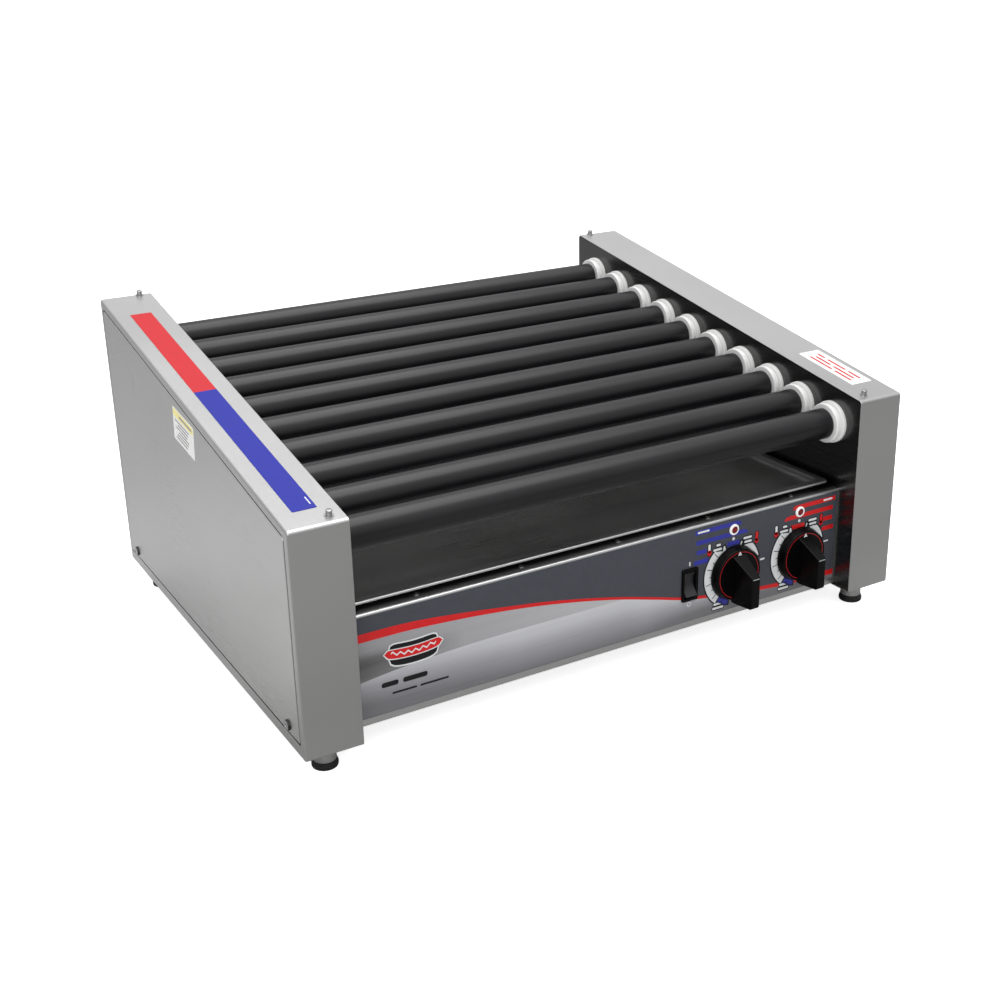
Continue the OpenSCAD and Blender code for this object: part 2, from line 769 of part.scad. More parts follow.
module rocker_housing() {
    half_bezel = bezel / 2;
    half_body = rocker_body / 2;
    half_well = rocker_well / 2;
    bezel_t = 2.4;
    bezel_r = 1.5;
    depth = 20;
    well_back = rocker_y + 9;
    color(dark) translate([rocker_x, 0, knob_z]) difference() {
        union() {
            along_y(panel_y - bezel_t, panel_y - overlay_t)
                polygon(rounded(box_points(-half_bezel, half_bezel),
                                [bezel_r, bezel_r, bezel_r, bezel_r]));
            block([-half_body[0], panel_y - bezel_t, -half_body[1]],
                  [half_body[0], panel_y + depth, half_body[1]]);
        }
        block([-half_well[0], panel_y - bezel_t - 1, -half_well[1]],
              [half_well[0], well_back, half_well[1]]);
        rod_x([rocker_y, 0], rocker_pin_r + running,
              -rocker_w / 2 - rocker_pin_l - 0.1, rocker_w / 2 + rocker_pin_l + 0.1);
    }
}

// Button turned so that its lower half is pressed in
module rocker_button() {
    shoulder = 25;
    sweep = shoulder + 30;
    waist = 4.4;
    steps = 6;
    color([0.13, 0.13, 0.14]) translate([rocker_x, rocker_y, knob_z]) rotate([rocker_tilt, 0, 0]) {
        along_x(-rocker_w / 2, rocker_w / 2) polygon(concat(
            [for (i = [0 : steps]) turned(rocker_r, 90 + shoulder - i * sweep / steps)],
            [for (i = [steps : -1 : 0]) turned(rocker_r, -90 - shoulder + i * sweep / steps)],
            [[-waist, 0]]));
        rod_x([0, 0], rocker_pin_r, -rocker_w / 2 - rocker_pin_l, rocker_w / 2 + rocker_pin_l);
    }
}

module pilot_bezels() {
    base = -panel_y + overlay_t;
    body_end = -panel_y - 14;
    rim_h = 1.8;
    rim_ease = 1;
    color("white") pilot_places() turned_y([0, pilot_z], [
        [lens_r, body_end], [pilot_body_r, body_end], [pilot_body_r, base],
        [pilot_rim_r, base], [pilot_rim_r, base + rim_h / 2], [pilot_rim_r - rim_ease, base + rim_h],
        [lens_r, base + rim_h]]);
}

module pilot_lenses() {
    base = -panel_y + 1.2;
    lens_end = -panel_y - 10;
    dome_h = 1.6;
    steps = 4;
    color([0.5, 0.02, 0.02]) pilot_places() turned_y([0, pilot_z], concat(
        [[0, lens_end], [lens_r, lens_end]],
        [for (i = [0 : steps]) let (a = 90 * i / steps) [lens_r * cos(a), base + dome_h * sin(a)]]));
}

// ---- Feet, studs, screws and fittings ----

module foot_places() {
    for (s = [-1, 1], at = feet) translate([s * at[0], at[1], 0]) children();
}
module foot_sleeves() {
    color(bright) foot_places() {
        translate([0, 0, foot_pad_h]) cylinder(r = foot_sleeve_r, h = foot_h - foot_pad_h);
        translate([0, 0, foot_h - 1]) cylinder(r = foot_stud_r, h = foot_stud_l);
    }
}
module foot_pads() {
    low_ease = 1.2;
    top_ease = 0.6;
    color(dark) foot_places() rotate_extrude() polygon([
        [0, 0], [foot_pad_r - low_ease, 0], [foot_pad_r, low_ease],
        [foot_pad_r, foot_pad_h - top_ease], [foot_pad_r - top_ease, foot_pad_h], [0, foot_pad_h]]);
}

// Origin on the sloped top of the right end housing, above the stud's place
module stud_at(y) {
    translate([stud_x, y, top_z(y)]) rotate([slope, 0, 0]) children();
}
// Each stud has a collar on the sheet, and a shank pressed through it
module top_studs() {
    color(steel) both_ends() for (y = stud_ys) stud_at(y) {
        cylinder(r = stud_r, h = stud_h);
        cylinder(r = stud_collar[0], h = stud_collar[1]);
        translate([0, 0, -sheet - stud_shank_in]) cylinder(r = stud_shank_r, h = sheet + stud_shank_in);
    }
}

// A pan-head screw whose head stands up from z = 0
module screw(head_r = screw_head_r, head_h = screw_head_h) {
    translate([0, 0, -screw_l]) cylinder(r = screw_r, h = screw_l + 0.2);
    cylinder(r = head_r, h = head_h);
}
module deck_screw_places() {
    for (i = [0 : deck_screws - 1])
        translate([deck_screw_first + i * deck_screw_gap, deck_screw_y, deck_z]) children();
}
module back_screw_places() {
    for (s = [-1, 1], z = [60, 140, 220]) translate([s * (inner_x - 12), 0, z]) children();
}
module screws() {
    color(steel) {
        deck_screw_places() screw();
        back_screw_places() translate([0, back_panel_y + sheet, 0]) rotate([-90, 0, 0]) screw();
        both_ends() for (s = [-1, 1])
            translate([outer_x + cover_proud, s * cover_screw_y, foot_h + cover_screw_up])
                rotate([0, 90, 0]) screw(cover_head_r, cover_head_h);
    }
}

module terminal_block() {
    at = [150, 150, pan_z + sheet];
    half = [32, 11];
    height = 18;
    way = 12;
    well_r = 2.4;
    well_depth = 8;
    entry = 3;
    entry_z = [4, 9];
    color([0.85, 0.83, 0.75]) translate(at) difference() {
        block([-half[0], -half[1], 0], [half[0], half[1], height]);
        for (i = [-2 : 2]) translate([i * way, 0, height - well_depth])
            cylinder(r = well_r, h = well_depth + 2);
        for (i = [-2 : 2], s = [-1, 1])
            block([i * way - entry, s * half[1] - entry, entry_z[0]],
                  [i * way + entry, s * half[1] + entry, entry_z[1]]);
    }
}

module cable_gland() {
    nut_r = 13;
    nut_in = 4;
    nut_out = 6;
    cap_r = 10.5;
    cap_ease = 5;
    face = -back_panel_y - sheet;
    color(dark) difference() {
        union() {
            rod_y(gland_at, gland_body_r, back_panel_y - 10, back_panel_y + sheet);
            translate([gland_at[0], back_panel_y, gland_at[1]]) rotate([90, 0, 0])
                cylinder(r = nut_r, h = nut_in, $fn = 6);
            translate([gland_at[0], back_panel_y + sheet, gland_at[1]]) rotate([-90, 0, 0])
                cylinder(r = nut_r, h = nut_out, $fn = 6);
            turned_y(gland_at, [[0, face], [cap_r, face], [cap_r, gland_end + cap_ease],
                                [gland_body_r, gland_end], [0, gland_end]]);
        }
        rod_y(gland_at, gland_bore_r, back_panel_y - 12, -gland_end + 1);
    }
}

// Printed labels: the two heating zones, a notice and a data plate
module labels() {
    zone_x = [-287, -267];
    zone_ys = [-207, 4.5, 181.5];
    notice = [[269, -201], [293.5, -127.5]];
    plate_half = [26.5, 15];
    plate_at = [-4.5, foot_h + 201.6];
    plate_turn = 7;
    module on_top(lo, hi) {
        on_slope([0, top_z(0)]) translate([0, 0, hide])
            block([lo[0], lo[1] / cos(slope), 0], [hi[0], hi[1] / cos(slope), label_t]);
    }
    color("royalblue") on_top([zone_x[0], zone_ys[0]], [zone_x[1], zone_ys[1]]);
    color("tomato") on_top([zone_x[0], zone_ys[1]], [zone_x[1], zone_ys[2]]);
    color("white") on_top(notice[0], notice[1]);
    color("white") translate([-outer_x - cover_proud - label_t - hide, plate_at[0], plate_at[1]])
        rotate([plate_turn, 0, 0]) block([0, -plate_half[0], -plate_half[1]],
                                         [label_t, plate_half[0], plate_half[1]]);
}

for (k = [1 : rollers]) {
    roller_tube(k);
    roller_hubs(k);
}
mirror([1, 0, 0]) roller_seals(seal_out_left);  // roller_seals_left
roller_seals(seal_out);  // roller_seals_right
mirror([1, 0, 0]) end_housing();  // left_end_housing
end_housing();  // right_end_housing
left_inner_wall();
color(steel) inner_wall_plate();  // right_inner_wall
mirror([1, 0, 0]) side_cover();  // left_side_cover
side_cover();  // right_side_cover
front_panel();
panel_overlay();
back_panel();
bottom_pan();
tray_deck();
drip_tray();
for (k = [1 : rollers]) heating_element(roller_at(k));  // heating_elements
both_ends() element_bracket();  // element_brackets
gearmotor();
motor_bracket();
motor_sprocket();
drive_chain();
idler_sprocket();
tensioner_arm();
knob(knob_x);  // front_zone_knob
knob(knob_x + knob_gap);  // rear_zone_knob
control_shaft(knob_x);  // front_zone_shaft
control_shaft(knob_x + knob_gap);  // rear_zone_shaft
heat_controls();
rocker_housing();
rocker_button();
pilot_bezels();
pilot_lenses();
foot_sleeves();
foot_pads();
top_studs();
screws();
terminal_block();
cable_gland();
labels();
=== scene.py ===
import json
import math

import bmesh
import bpy
from mathutils import Matrix, Vector, noise

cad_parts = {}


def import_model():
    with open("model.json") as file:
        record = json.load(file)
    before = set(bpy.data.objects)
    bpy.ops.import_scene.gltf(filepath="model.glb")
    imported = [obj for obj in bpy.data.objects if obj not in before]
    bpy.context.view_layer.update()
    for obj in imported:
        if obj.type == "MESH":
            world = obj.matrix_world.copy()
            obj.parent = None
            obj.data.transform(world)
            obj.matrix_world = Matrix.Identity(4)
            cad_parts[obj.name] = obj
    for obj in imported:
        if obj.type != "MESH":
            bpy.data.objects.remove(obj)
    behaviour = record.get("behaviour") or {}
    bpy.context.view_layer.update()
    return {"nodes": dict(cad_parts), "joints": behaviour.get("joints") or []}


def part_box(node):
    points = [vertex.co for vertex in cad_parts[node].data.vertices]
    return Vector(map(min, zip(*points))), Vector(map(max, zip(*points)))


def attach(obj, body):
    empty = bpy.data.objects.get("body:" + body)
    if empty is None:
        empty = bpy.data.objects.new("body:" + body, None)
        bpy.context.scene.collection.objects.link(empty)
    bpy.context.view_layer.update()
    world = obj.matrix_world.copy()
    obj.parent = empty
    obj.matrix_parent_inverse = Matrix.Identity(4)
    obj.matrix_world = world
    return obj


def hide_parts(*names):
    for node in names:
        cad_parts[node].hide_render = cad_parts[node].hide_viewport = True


# Lengths are in millimetres until a mesh is made.
MM = 0.001

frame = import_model()
JOINTS = {joint["name"]: joint for joint in frame["joints"]}


# ---- Places taken from the frame ----

def low(node):
    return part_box(node)[0] / MM


def high(node):
    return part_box(node)[1] / MM


def pivot(joint):
    return Vector(JOINTS[joint]["pos_m"]) / MM


ROLLERS = 10
ROLLER_AXES = [pivot(f"roller_{k:02d}_spin") for k in range(1, ROLLERS + 1)]
BED = ROLLER_AXES[-1] - ROLLER_AXES[0]
SLOPE = math.atan2(BED.z, BED.y)
OFF_SLOPE = Vector((0, -math.sin(SLOPE), math.cos(SLOPE)))
ROLLER_DROP = 34.2
INNER_X = high("front_panel").x
OUTER_X = high("right_end_housing").x
COVER_X = high("right_side_cover").x
FRONT_Y = low("right_end_housing").y
BACK_Y = high("right_end_housing").y
FOOT_H = low("right_end_housing").z
OVERLAY_LOW = low("panel_overlay")
PRINT_Y = OVERLAY_LOW.y
SHEET = 1.2
KNOB_AXES = {name: pivot(f"{name}_zone_turn") for name in ("front", "rear")}
ROCKER_AXIS = pivot("power_rocker")
BARS_Z = FOOT_H + 86


def top_z(y):
    """Height of the sloped top of an end housing."""
    first = ROLLER_AXES[0]
    return first.z + (y - first.y) * math.tan(SLOPE) + ROLLER_DROP / math.cos(SLOPE)


# ---- Plane geometry ----

def inset(outline, distances):
    """An anticlockwise convex outline moved inwards, by its own distance on each side."""
    n, moved = len(outline), []
    for i in range(n):
        b = Vector(outline[i])
        before = (b - Vector(outline[i - 1])).normalized()
        after = (Vector(outline[(i + 1) % n]) - b).normalized()
        p, q = Vector((-before.y, before.x)), Vector((-after.y, after.x))
        dp, dq, k = distances[i - 1], distances[i], p.dot(q)
        moved.append(b + ((dp - dq * k) * p + (dq - dp * k) * q) / (1 - k * k))
    return moved


def eased(outline, radius, steps=5, closed=True):
    """The outline with round corners. radius is one number, or one for each corner."""
    n, points = len(outline), []
    radii = [radius] * n if isinstance(radius, (int, float)) else radius
    for i in range(n):
        b = Vector(outline[i])
        end = not closed and i in (0, n - 1)
        if end or radii[i] == 0:
            points.append(b)
            continue
        u = (Vector(outline[i - 1]) - b).normalized()
        v = (Vector(outline[(i + 1) % n]) - b).normalized()
        half = math.acos(max(-1, min(1, u.dot(v)))) / 2
        centre = b + (u + v).normalized() * radii[i] / math.sin(half)
        start = b + u * radii[i] / math.tan(half) - centre
        stop = b + v * radii[i] / math.tan(half) - centre
        turn = math.atan2(start.x * stop.y - start.y * stop.x, start.dot(stop))
        for j in range(steps + 1):
            points.append(centre + Matrix.Rotation(turn * j / steps, 2) @ start)
    return points


def box_outline(lo, hi):
    return [(lo[0], lo[1]), (hi[0], lo[1]), (hi[0], hi[1]), (lo[0], hi[1])]


def circle(centre, r, steps=32):
    angles = [2 * math.pi * i / steps for i in range(steps)]
    return [(centre[0] + r * math.cos(a), centre[1] + r * math.sin(a)) for a in angles]


def curve_through(points, steps=10):
    """A smooth line through the points: a Catmull-Rom curve."""
    pts = [Vector(p) for p in points]
    pts = [2 * pts[0] - pts[1], *pts, 2 * pts[-1] - pts[-2]]
    line = []
    for a, b, c, d in zip(pts, pts[1:], pts[2:], pts[3:]):
        for j in range(steps):
            t = j / steps
            line.append(0.5 * (2 * b + (c - a) * t + (2 * a - 5 * b + 4 * c - d) * t ** 2
                               + (3 * b - a - 3 * c + d) * t ** 3))
    return line + [pts[-2]]


# ---- Solid geometry: a shape is (points, faces) ----

# A loft with neither end closed
OPEN = (False, False)


def joined(*shapes):
    points, faces = [], []
    for shape_points, shape_faces in shapes:
        n = len(points)
        points += list(shape_points)
        faces += [[i + n for i in face] for face in shape_faces]
    return points, faces


def loft(rings, wrap=True, caps=(True, True)):
    """Faces between rings that have the same number of points. wrap closes each ring."""
    n = len(rings[0])
    points = [p for ring in rings for p in ring]
    faces = []
    for i in range(len(rings) - 1):
        for j in range(n if wrap else n - 1):
            k = (j + 1) % n
            faces.append([i * n + j, i * n + k, (i + 1) * n + k, (i + 1) * n + j])
    if caps[0]:
        faces.append(list(range(n))[::-1])
    if caps[1]:
        faces.append([(len(rings) - 1) * n + j for j in range(n)])
    return points, faces


def lathe(profile, centre, along, steps=64):
    """A profile of (radius, distance along the axis), turned about the axis."""
    along = Vector(along).normalized()
    side = along.orthogonal().normalized()
    other = along.cross(side)
    rings = []
    for r, d in profile:
        angles = [2 * math.pi * i / steps for i in range(steps)]
        rings.append([Vector(centre) + along * d + side * r * math.cos(a) + other * r * math.sin(a)
                      for a in angles])
    return loft(rings, caps=OPEN)


def lathes(profile, centres, along, steps=64):
    """The same turned shape at each centre."""
    return joined(*[lathe(profile, centre, along, steps) for centre in centres])


def prism(outline, place, start, stop):
    """An outline pushed from start to stop. place(u, v, w) gives the point in space."""
    return loft([[place(p[0], p[1], w) for p in outline] for w in (start, stop)])


def block(lo, hi):
    return prism(box_outline(lo, hi), lambda u, v, w: Vector((u, v, w)), lo[2], hi[2])


def clipped_grid(outline, step):
    """A grid in the plane, cut to a convex anticlockwise outline."""
    xs, ys = [p[0] for p in outline], [p[1] for p in outline]
    across, up = math.ceil((max(xs) - min(xs)) / step), math.ceil((max(ys) - min(ys)) / step)
    points = [(min(xs) + i * step, min(ys) + j * step, 0) for j in range(up + 1) for i in range(across + 1)]
    faces = [[j * (across + 1) + i, j * (across + 1) + i + 1, (j + 1) * (across + 1) + i + 1,
              (j + 1) * (across + 1) + i] for j in range(up) for i in range(across)]
    mesh = bpy.data.meshes.new("grid")
    mesh.from_pydata(points, [], faces)
    bm = bmesh.new()
    bm.from_mesh(mesh)
    for i, b in enumerate(outline):
        a = Vector(outline[i - 1])
        edge = Vector(b) - a
        if edge.length < 1e-6:
            continue
        everything = bm.verts[:] + bm.edges[:] + bm.faces[:]
        bmesh.ops.bisect_plane(bm, geom=everything, dist=1e-5, plane_co=(a.x, a.y, 0),
                               plane_no=(edge.y, -edge.x, 0), clear_outer=True)
    bm.verts.index_update()
    shape = [Vector(v.co) for v in bm.verts], [[v.index for v in f.verts] for f in bm.faces]
    bm.free()
    bpy.data.meshes.remove(mesh)
    return shape


# ---- From shapes to pieces ----

SHARP = math.radians(32)


def placed(name, data):
    """A new object in the scene."""
    obj = bpy.data.objects.new(name, data)
    bpy.context.scene.collection.objects.link(obj)
    return obj


def finish_mesh(obj, bevel):
    """Smooth shading between sharp edges, with a small bevel on them."""
    obj.data.shade_smooth()
    obj.data.set_sharp_from_angle(angle=SHARP)
    if bevel:
        edge = obj.modifiers.new("edges", "BEVEL")
        edge.width = bevel * MM
        edge.segments = 3
        edge.limit_method = "ANGLE"
        edge.angle_limit = SHARP
        edge.harden_normals = True
    normals = obj.modifiers.new("normals", "WEIGHTED_NORMAL")
    normals.keep_sharp = True


def piece(name, shape, look, slot=None, replaces=(), body="frame", bevel=0):
    """A new piece from a shape in millimetres, riding on a body."""
    points, faces = shape
    mesh = bpy.data.meshes.new(name)
    mesh.from_pydata([Vector(p) * MM for p in points], [], faces)
    bm = bmesh.new()
    bm.from_mesh(mesh)
    bmesh.ops.remove_doubles(bm, verts=bm.verts, dist=1e-3 * MM)
    bmesh.ops.recalc_face_normals(bm, faces=bm.faces)
    bm.to_mesh(mesh)
    bm.free()
    obj = placed(name, mesh)
    mesh.materials.append(LOOKS[look])
    finish_mesh(obj, bevel)
    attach(obj, body)
    if replaces:
        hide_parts(*replaces)
    return obj


def eased_copy(node, look, slot, bevel):
    """A piece in the exact shape of a CAD node, with its edges eased."""
    mesh = frame["nodes"][node].data.copy()
    bm = bmesh.new()
    bm.from_mesh(mesh)
    bmesh.ops.remove_doubles(bm, verts=bm.verts, dist=1e-3 * MM)
    bmesh.ops.dissolve_limit(bm, angle_limit=math.radians(0.5), verts=bm.verts, edges=bm.edges)
    shape = [v.co / MM for v in bm.verts], [[v.index for v in f.verts] for f in bm.faces]
    bm.free()
    bpy.data.meshes.remove(mesh)
    piece(f"{node}_eased", shape, look, slot, [node], bevel=bevel)


# ---- Materials ----

# A mix node's colour sockets
MIX_A, MIX_B, MIX_RESULT = 6, 7, 2


def triple(value):
    """Three values, where one number stands for three alike."""
    return value if isinstance(value, tuple) else (value,) * 3


def shade(colour, factor):
    return tuple(min(1.0, c * factor) for c in triple(colour))


class Nodes:
    """The nodes of one material or world."""

    def __init__(self, tree):
        self.tree = tree

    def add(self, kind, links=(), values=(), **settings):
        node = self.tree.nodes.new(kind)
        for key, value in settings.items():
            setattr(node, key, value)
        for socket, value in dict(values).items():
            node.inputs[socket].default_value = value
        for socket, source in dict(links).items():
            self.tree.links.new(source, node.inputs[socket])
        return node

    def ramp(self, source, *stops):
        """Colours along the source, as (place, colour)."""
        node = self.add("ShaderNodeValToRGB", {"Fac": source})
        elements = node.color_ramp.elements
        while len(elements) < len(stops):
            elements.new(0.5)
        for element, (place, colour) in zip(elements, stops):
            element.position = place
            element.color = (*triple(colour), 1)
        return node.outputs["Color"]


class Look(Nodes):
    """A material built from nodes around one Principled shader."""

    def __init__(self, name, **sockets):
        self.material = bpy.data.materials.new(name)
        self.material.use_nodes = True
        super().__init__(self.material.node_tree)
        self.shader = self.tree.nodes["Principled BSDF"]
        for socket, value in sockets.items():
            self.shader.inputs[socket.replace("_", " ")].default_value = value
        self.coordinates = self.add("ShaderNodeTexCoord").outputs["Object"]

    def to_shader(self, socket, source):
        self.tree.links.new(source, self.shader.inputs[socket])

    def noise(self, stretch, detail=3.0, roughness=0.55):
        """Noise in cycles per metre along each axis."""
        scaled = self.add("ShaderNodeMapping", {"Vector": self.coordinates}, {"Scale": triple(stretch)})
        texture = self.add("ShaderNodeTexNoise", {"Vector": scaled.outputs[0]},
                           {"Scale": 1.0, "Detail": detail, "Roughness": roughness})
        return texture.outputs["Fac"]

    def between(self, source, low_value, high_value, start=0.3, stop=0.7):
        """The source's range from start to stop, spread from one value to another."""
        node = self.add("ShaderNodeMapRange", {"Value": source},
                        {"From Min": start, "From Max": stop, "To Min": low_value, "To Max": high_value})
        return node.outputs["Result"]

    def mixed(self, a, b, share=None, blend="MIX"):
        """Two colours mixed. share is a socket; without one the second acts in full."""
        links = {MIX_A: a, MIX_B: b}
        if share:
            links[0] = share
        node = self.add("ShaderNodeMix", links, {0: 1.0}, data_type="RGBA", blend_type=blend)
        return node.outputs[MIX_RESULT]

    def bump(self, *layers):
        """Height layers as (source, depth in millimetres)."""
        normal = None
        for source, depth in layers:
            node = self.add("ShaderNodeBump", {"Height": source}, {"Distance": depth * MM, "Strength": 1.0})
            if normal:
                self.tree.links.new(normal, node.inputs["Normal"])
            normal = node.outputs["Normal"]
        self.to_shader("Normal", normal)


# An overlay film's orange peel, in cycles per metre and millimetres
PEEL, PEEL_DEPTH = 420, 0.006
GRAIN = {"x": (14, 1400, 1400), "y": (1400, 14, 1400)}


def painted_shade_along_y(look, tone, dark, y_dark, y_lit):
    """A tone darkened by painted shade towards the first y, and left full from the second y on, both in
    millimetres.
    """
    along = look.add("ShaderNodeSeparateXYZ", {"Vector": look.coordinates}).outputs["Y"]
    share = look.between(along, 0, 1, y_dark * MM, y_lit * MM)
    return look.mixed(tone, look.ramp(share, (0.0, dark), (1.0, 1)), blend="MULTIPLY")


def brushed(name, colour, grain="y", rough=(0.24, 0.36), clouds=0.04, waves=0.12, grain_depth=0.0007,
            painted_shade=None):
    """Brushed sheet steel: fine streaks along one axis, broad soft patches and slow waves in the sheet."""
    look = Look(name, Metallic=1.0)
    streaks = look.noise(GRAIN[grain], 3, 0.6)
    broad = look.noise((5, 5, 7), 1, 0.4)
    tone = look.add("ShaderNodeMath", {0: streaks, 1: broad}, operation="ADD").outputs[0]
    steel = look.ramp(look.between(tone, 0, 1, 0.7, 1.3), (0.0, shade(colour, 1 - clouds)),
                      (1.0, shade(colour, 1 + clouds)))
    # Where given, painted shade darkens the steel along y
    look.to_shader("Base Color", painted_shade_along_y(look, steel, *painted_shade) if painted_shade else steel)
    look.to_shader("Roughness", look.between(tone, *rough, 0.7, 1.3))
    look.bump((broad, waves), (streaks, grain_depth))
    return look.material


def mottled(name, dark, light, rough, cloud, skin=None, span=(0.3, 0.7), **sockets):
    """Colour and roughness that drift with one noise, over a finer skin.

    cloud holds the noise's arguments, and skin a depth in millimetres with its own noise's arguments.
    """
    look = Look(name, **sockets)
    drift = look.noise(*cloud)
    look.to_shader("Base Color", look.ramp(drift, (span[0], dark), (span[1], light)))
    look.to_shader("Roughness", look.between(drift, *rough))
    if skin:
        look.bump((look.noise(*skin[1:]), skin[0]))
    return look.material


def coating():
    """The rollers' black non-stick coat: satin, finely stippled, a little polished in places."""
    return mottled("nonstick_coat", (0.0040, 0.0040, 0.0048), (0.0075, 0.0075, 0.0088), (0.28, 0.35),
                   ((7, 40, 40), 4, 0.6), (0.012, 1500, 2), (0.3, 0.75), Metallic=0.0, Specular_IOR_Level=0.4)


def plastic(name, colour, rough, stipple=0.01, grain=900, shine=0.5, spread=0.12):
    """Moulded plastic with a fine skin texture and slightly uneven gloss."""
    return mottled(name, shade(colour, 1 - spread), shade(colour, 1 + spread), (rough * 0.88, rough * 1.12),
                   (45, 4, 0.6), (stipple, grain, 2), Metallic=0.0, Specular_IOR_Level=shine)


def ink(name, colour, rough=0.38, spread=0.05):
    """Screen print under a film: even colour with a faint mottle and an orange-peel surface."""
    return mottled(name, shade(colour, 1 - spread), shade(colour, 1 + spread), (rough * 0.92, rough * 1.08),
                   (160, 4), (PEEL_DEPTH, PEEL, 1), Metallic=0.0, Specular_IOR_Level=0.25)


def turned_metal(name, colour, rough, grime=0.3):
    """Machined metal parts, with darker oily patches."""
    return mottled(name, shade(colour, 1 - grime), colour, (rough * 1.25, rough * 0.85), (70, 5, 0.65),
                   (0.01, (900, 60, 60), 3), (0.35, 0.65), Metallic=1.0)


def lens_glass(name, colour):
    """Translucent plastic, red a little way in."""
    return mottled(name, shade(colour, 0.7), shade(colour, 1.25), (0.12, 0.2), (500, 2), Metallic=0.0,
                   Specular_IOR_Level=0.4, Subsurface_Weight=0.15, Subsurface_Radius=(0.002, 0.0003, 0.0003))


def shaded_ink(name, *stops):
    """Print whose tone runs with the mesh's tone attribute, with fine lines like brushed metal along x."""
    look = Look(name, Metallic=0.0, Roughness=0.38, Specular_IOR_Level=0.25)
    place = look.add("ShaderNodeAttribute", attribute_name="tone").outputs["Fac"]
    streak = look.ramp(look.noise((3, 500, 500), 3), (0.3, 0.94), (0.7, 1))
    look.to_shader("Base Color", look.mixed(look.ramp(place, *stops), streak, blend="MULTIPLY"))
    look.bump((look.noise(PEEL, 1), PEEL_DEPTH))
    return look.material


def spangled(name, colour):
    """Galvanised sheet: zinc crystals a few millimetres across."""
    look = Look(name, Metallic=0.9)
    cells = look.add("ShaderNodeTexVoronoi", {"Vector": look.coordinates},
                     {"Scale": 140.0, "Randomness": 1.0})
    crystal = look.add("ShaderNodeSeparateColor", {"Color": cells.outputs["Color"]}).outputs[0]
    look.to_shader("Base Color", look.ramp(crystal, (0.0, shade(colour, 0.82)), (1.0, shade(colour, 1.12))))
    look.to_shader("Roughness", look.between(crystal, 0.34, 0.5, 0, 1))
    look.bump((look.noise(90), 0.08))
    return look.material


STEEL = (0.60, 0.60, 0.595)
LOOKS = {
    # Housing steel: painted shade darkens the front of each housing
    "housing": brushed("housing_steel", STEEL, rough=(0.31, 0.40), painted_shade=(0.85, -215, -60)),
    "cover": brushed("cover_steel", STEEL, rough=(0.26, 0.36), clouds=0.07, waves=0.2),
    # Inner walls: steel darkened to a fifth as painted shade
    "wall": brushed("painted_shade_wall_steel", shade(STEEL, 0.20), rough=(0.22, 0.3), waves=0.3),
    # Steel darkened as painted shade, for the cover's turned-in edge in the gap and the cover screws' edges
    "return": brushed("painted_shade_return_steel", shade(STEEL, 0.12), rough=(0.45, 0.55)),
    # Panel steel: painted shadow darkens the top flange behind its front edge, under the tray's lip
    "panel": brushed("panel_steel", STEEL, "x", rough=(0.27, 0.35), painted_shade=(0.12, -201, -206.5)),
    # Deck steel: dimmed, and darkened further towards the front, as painted shade under the tray
    "deck": brushed("painted_shade_deck_steel", shade(STEEL, 0.7), "x", painted_shade=(0.05, -196, -165)),
    "tray": brushed("tray_steel", STEEL, "x", rough=(0.26, 0.36), waves=0.08, grain_depth=0.0004),
    "coat": coating(),
    "seal": plastic("seal_plastic", (0.70, 0.70, 0.69), 0.42, stipple=0.004, spread=0.03),
    "black": plastic("black_plastic", (0.0016, 0.0016, 0.0017), 0.24, stipple=0.003, shine=0.13),
    "paddle": plastic("paddle_plastic", (0.010, 0.009, 0.011), 0.34, stipple=0.003, shine=0.5),
    # Deck screws: steel darkened as painted shade under the tray's lip
    "painted_shade_dot_steel": turned_metal("painted_shade_deck_screw_steel", (0.16, 0.16, 0.155), 0.4),
    "mark": ink("faded_print", (0.26, 0.30, 0.29)),
    "rubber": plastic("foot_rubber", 0.007, 0.6, stipple=0.05, grain=500),
    "phenolic": plastic("phenolic", (0.62, 0.58, 0.48), 0.5),
    "white_cap": plastic("bezel_plastic", (0.82, 0.80, 0.79), 0.3, stipple=0.003, spread=0.03),
    "lens": lens_glass("red_lens", (0.13, 0.004, 0.006)),
    "zinc": spangled("galvanised", (0.62, 0.63, 0.64)),
    "machined": turned_metal("machined_steel", (0.58, 0.57, 0.56), 0.3),
    "chain": turned_metal("chain_steel", (0.20, 0.19, 0.18), 0.38, grime=0.5),
    "sheath": turned_metal("element_sheath", (0.24, 0.21, 0.18), 0.45, grime=0.35),
    "screw": turned_metal("screw_steel", 0.50, 0.26),
    "paint": plastic("motor_paint", (0.10, 0.105, 0.115), 0.45, stipple=0.03),
    "silver": shaded_ink("silver_print", (0.0, (0.135, 0.132, 0.14)), (0.45, (0.25, 0.25, 0.265)),
                         (0.8, (0.39, 0.39, 0.41)), (1.0, (0.44, 0.44, 0.455))),
    "band": shaded_ink("band_print", (0.0, (0.05, 0.048, 0.048)), (0.5, 0.13),
                       (0.8, (0.25, 0.25, 0.26)), (1.0, (0.36, 0.36, 0.37))),
    "slate": ink("slate_print", (0.046, 0.050, 0.061)),
    "red": ink("red_print", (0.48, 0.006, 0.007)),
    "blue": ink("blue_print", (0.024, 0.028, 0.25)),
    "white": ink("white_print", (0.55, 0.56, 0.565)),
    "outline": ink("black_print", (0.006, 0.006, 0.007)),
    "ring_red": ink("red_ring_print", (0.30, 0.006, 0.009)),
    "label_red": ink("red_vinyl", (0.49, 0.016, 0.022), rough=0.5),
    "label_blue": ink("blue_vinyl", (0.014, 0.020, 0.28), rough=0.5),
    "label_white": ink("white_vinyl", (0.74, 0.74, 0.73), rough=0.5),
    "label_yellow": ink("yellow_vinyl", (0.80, 0.72, 0.30), rough=0.45),
    "label_grey": ink("grey_print", 0.28, rough=0.45),
}

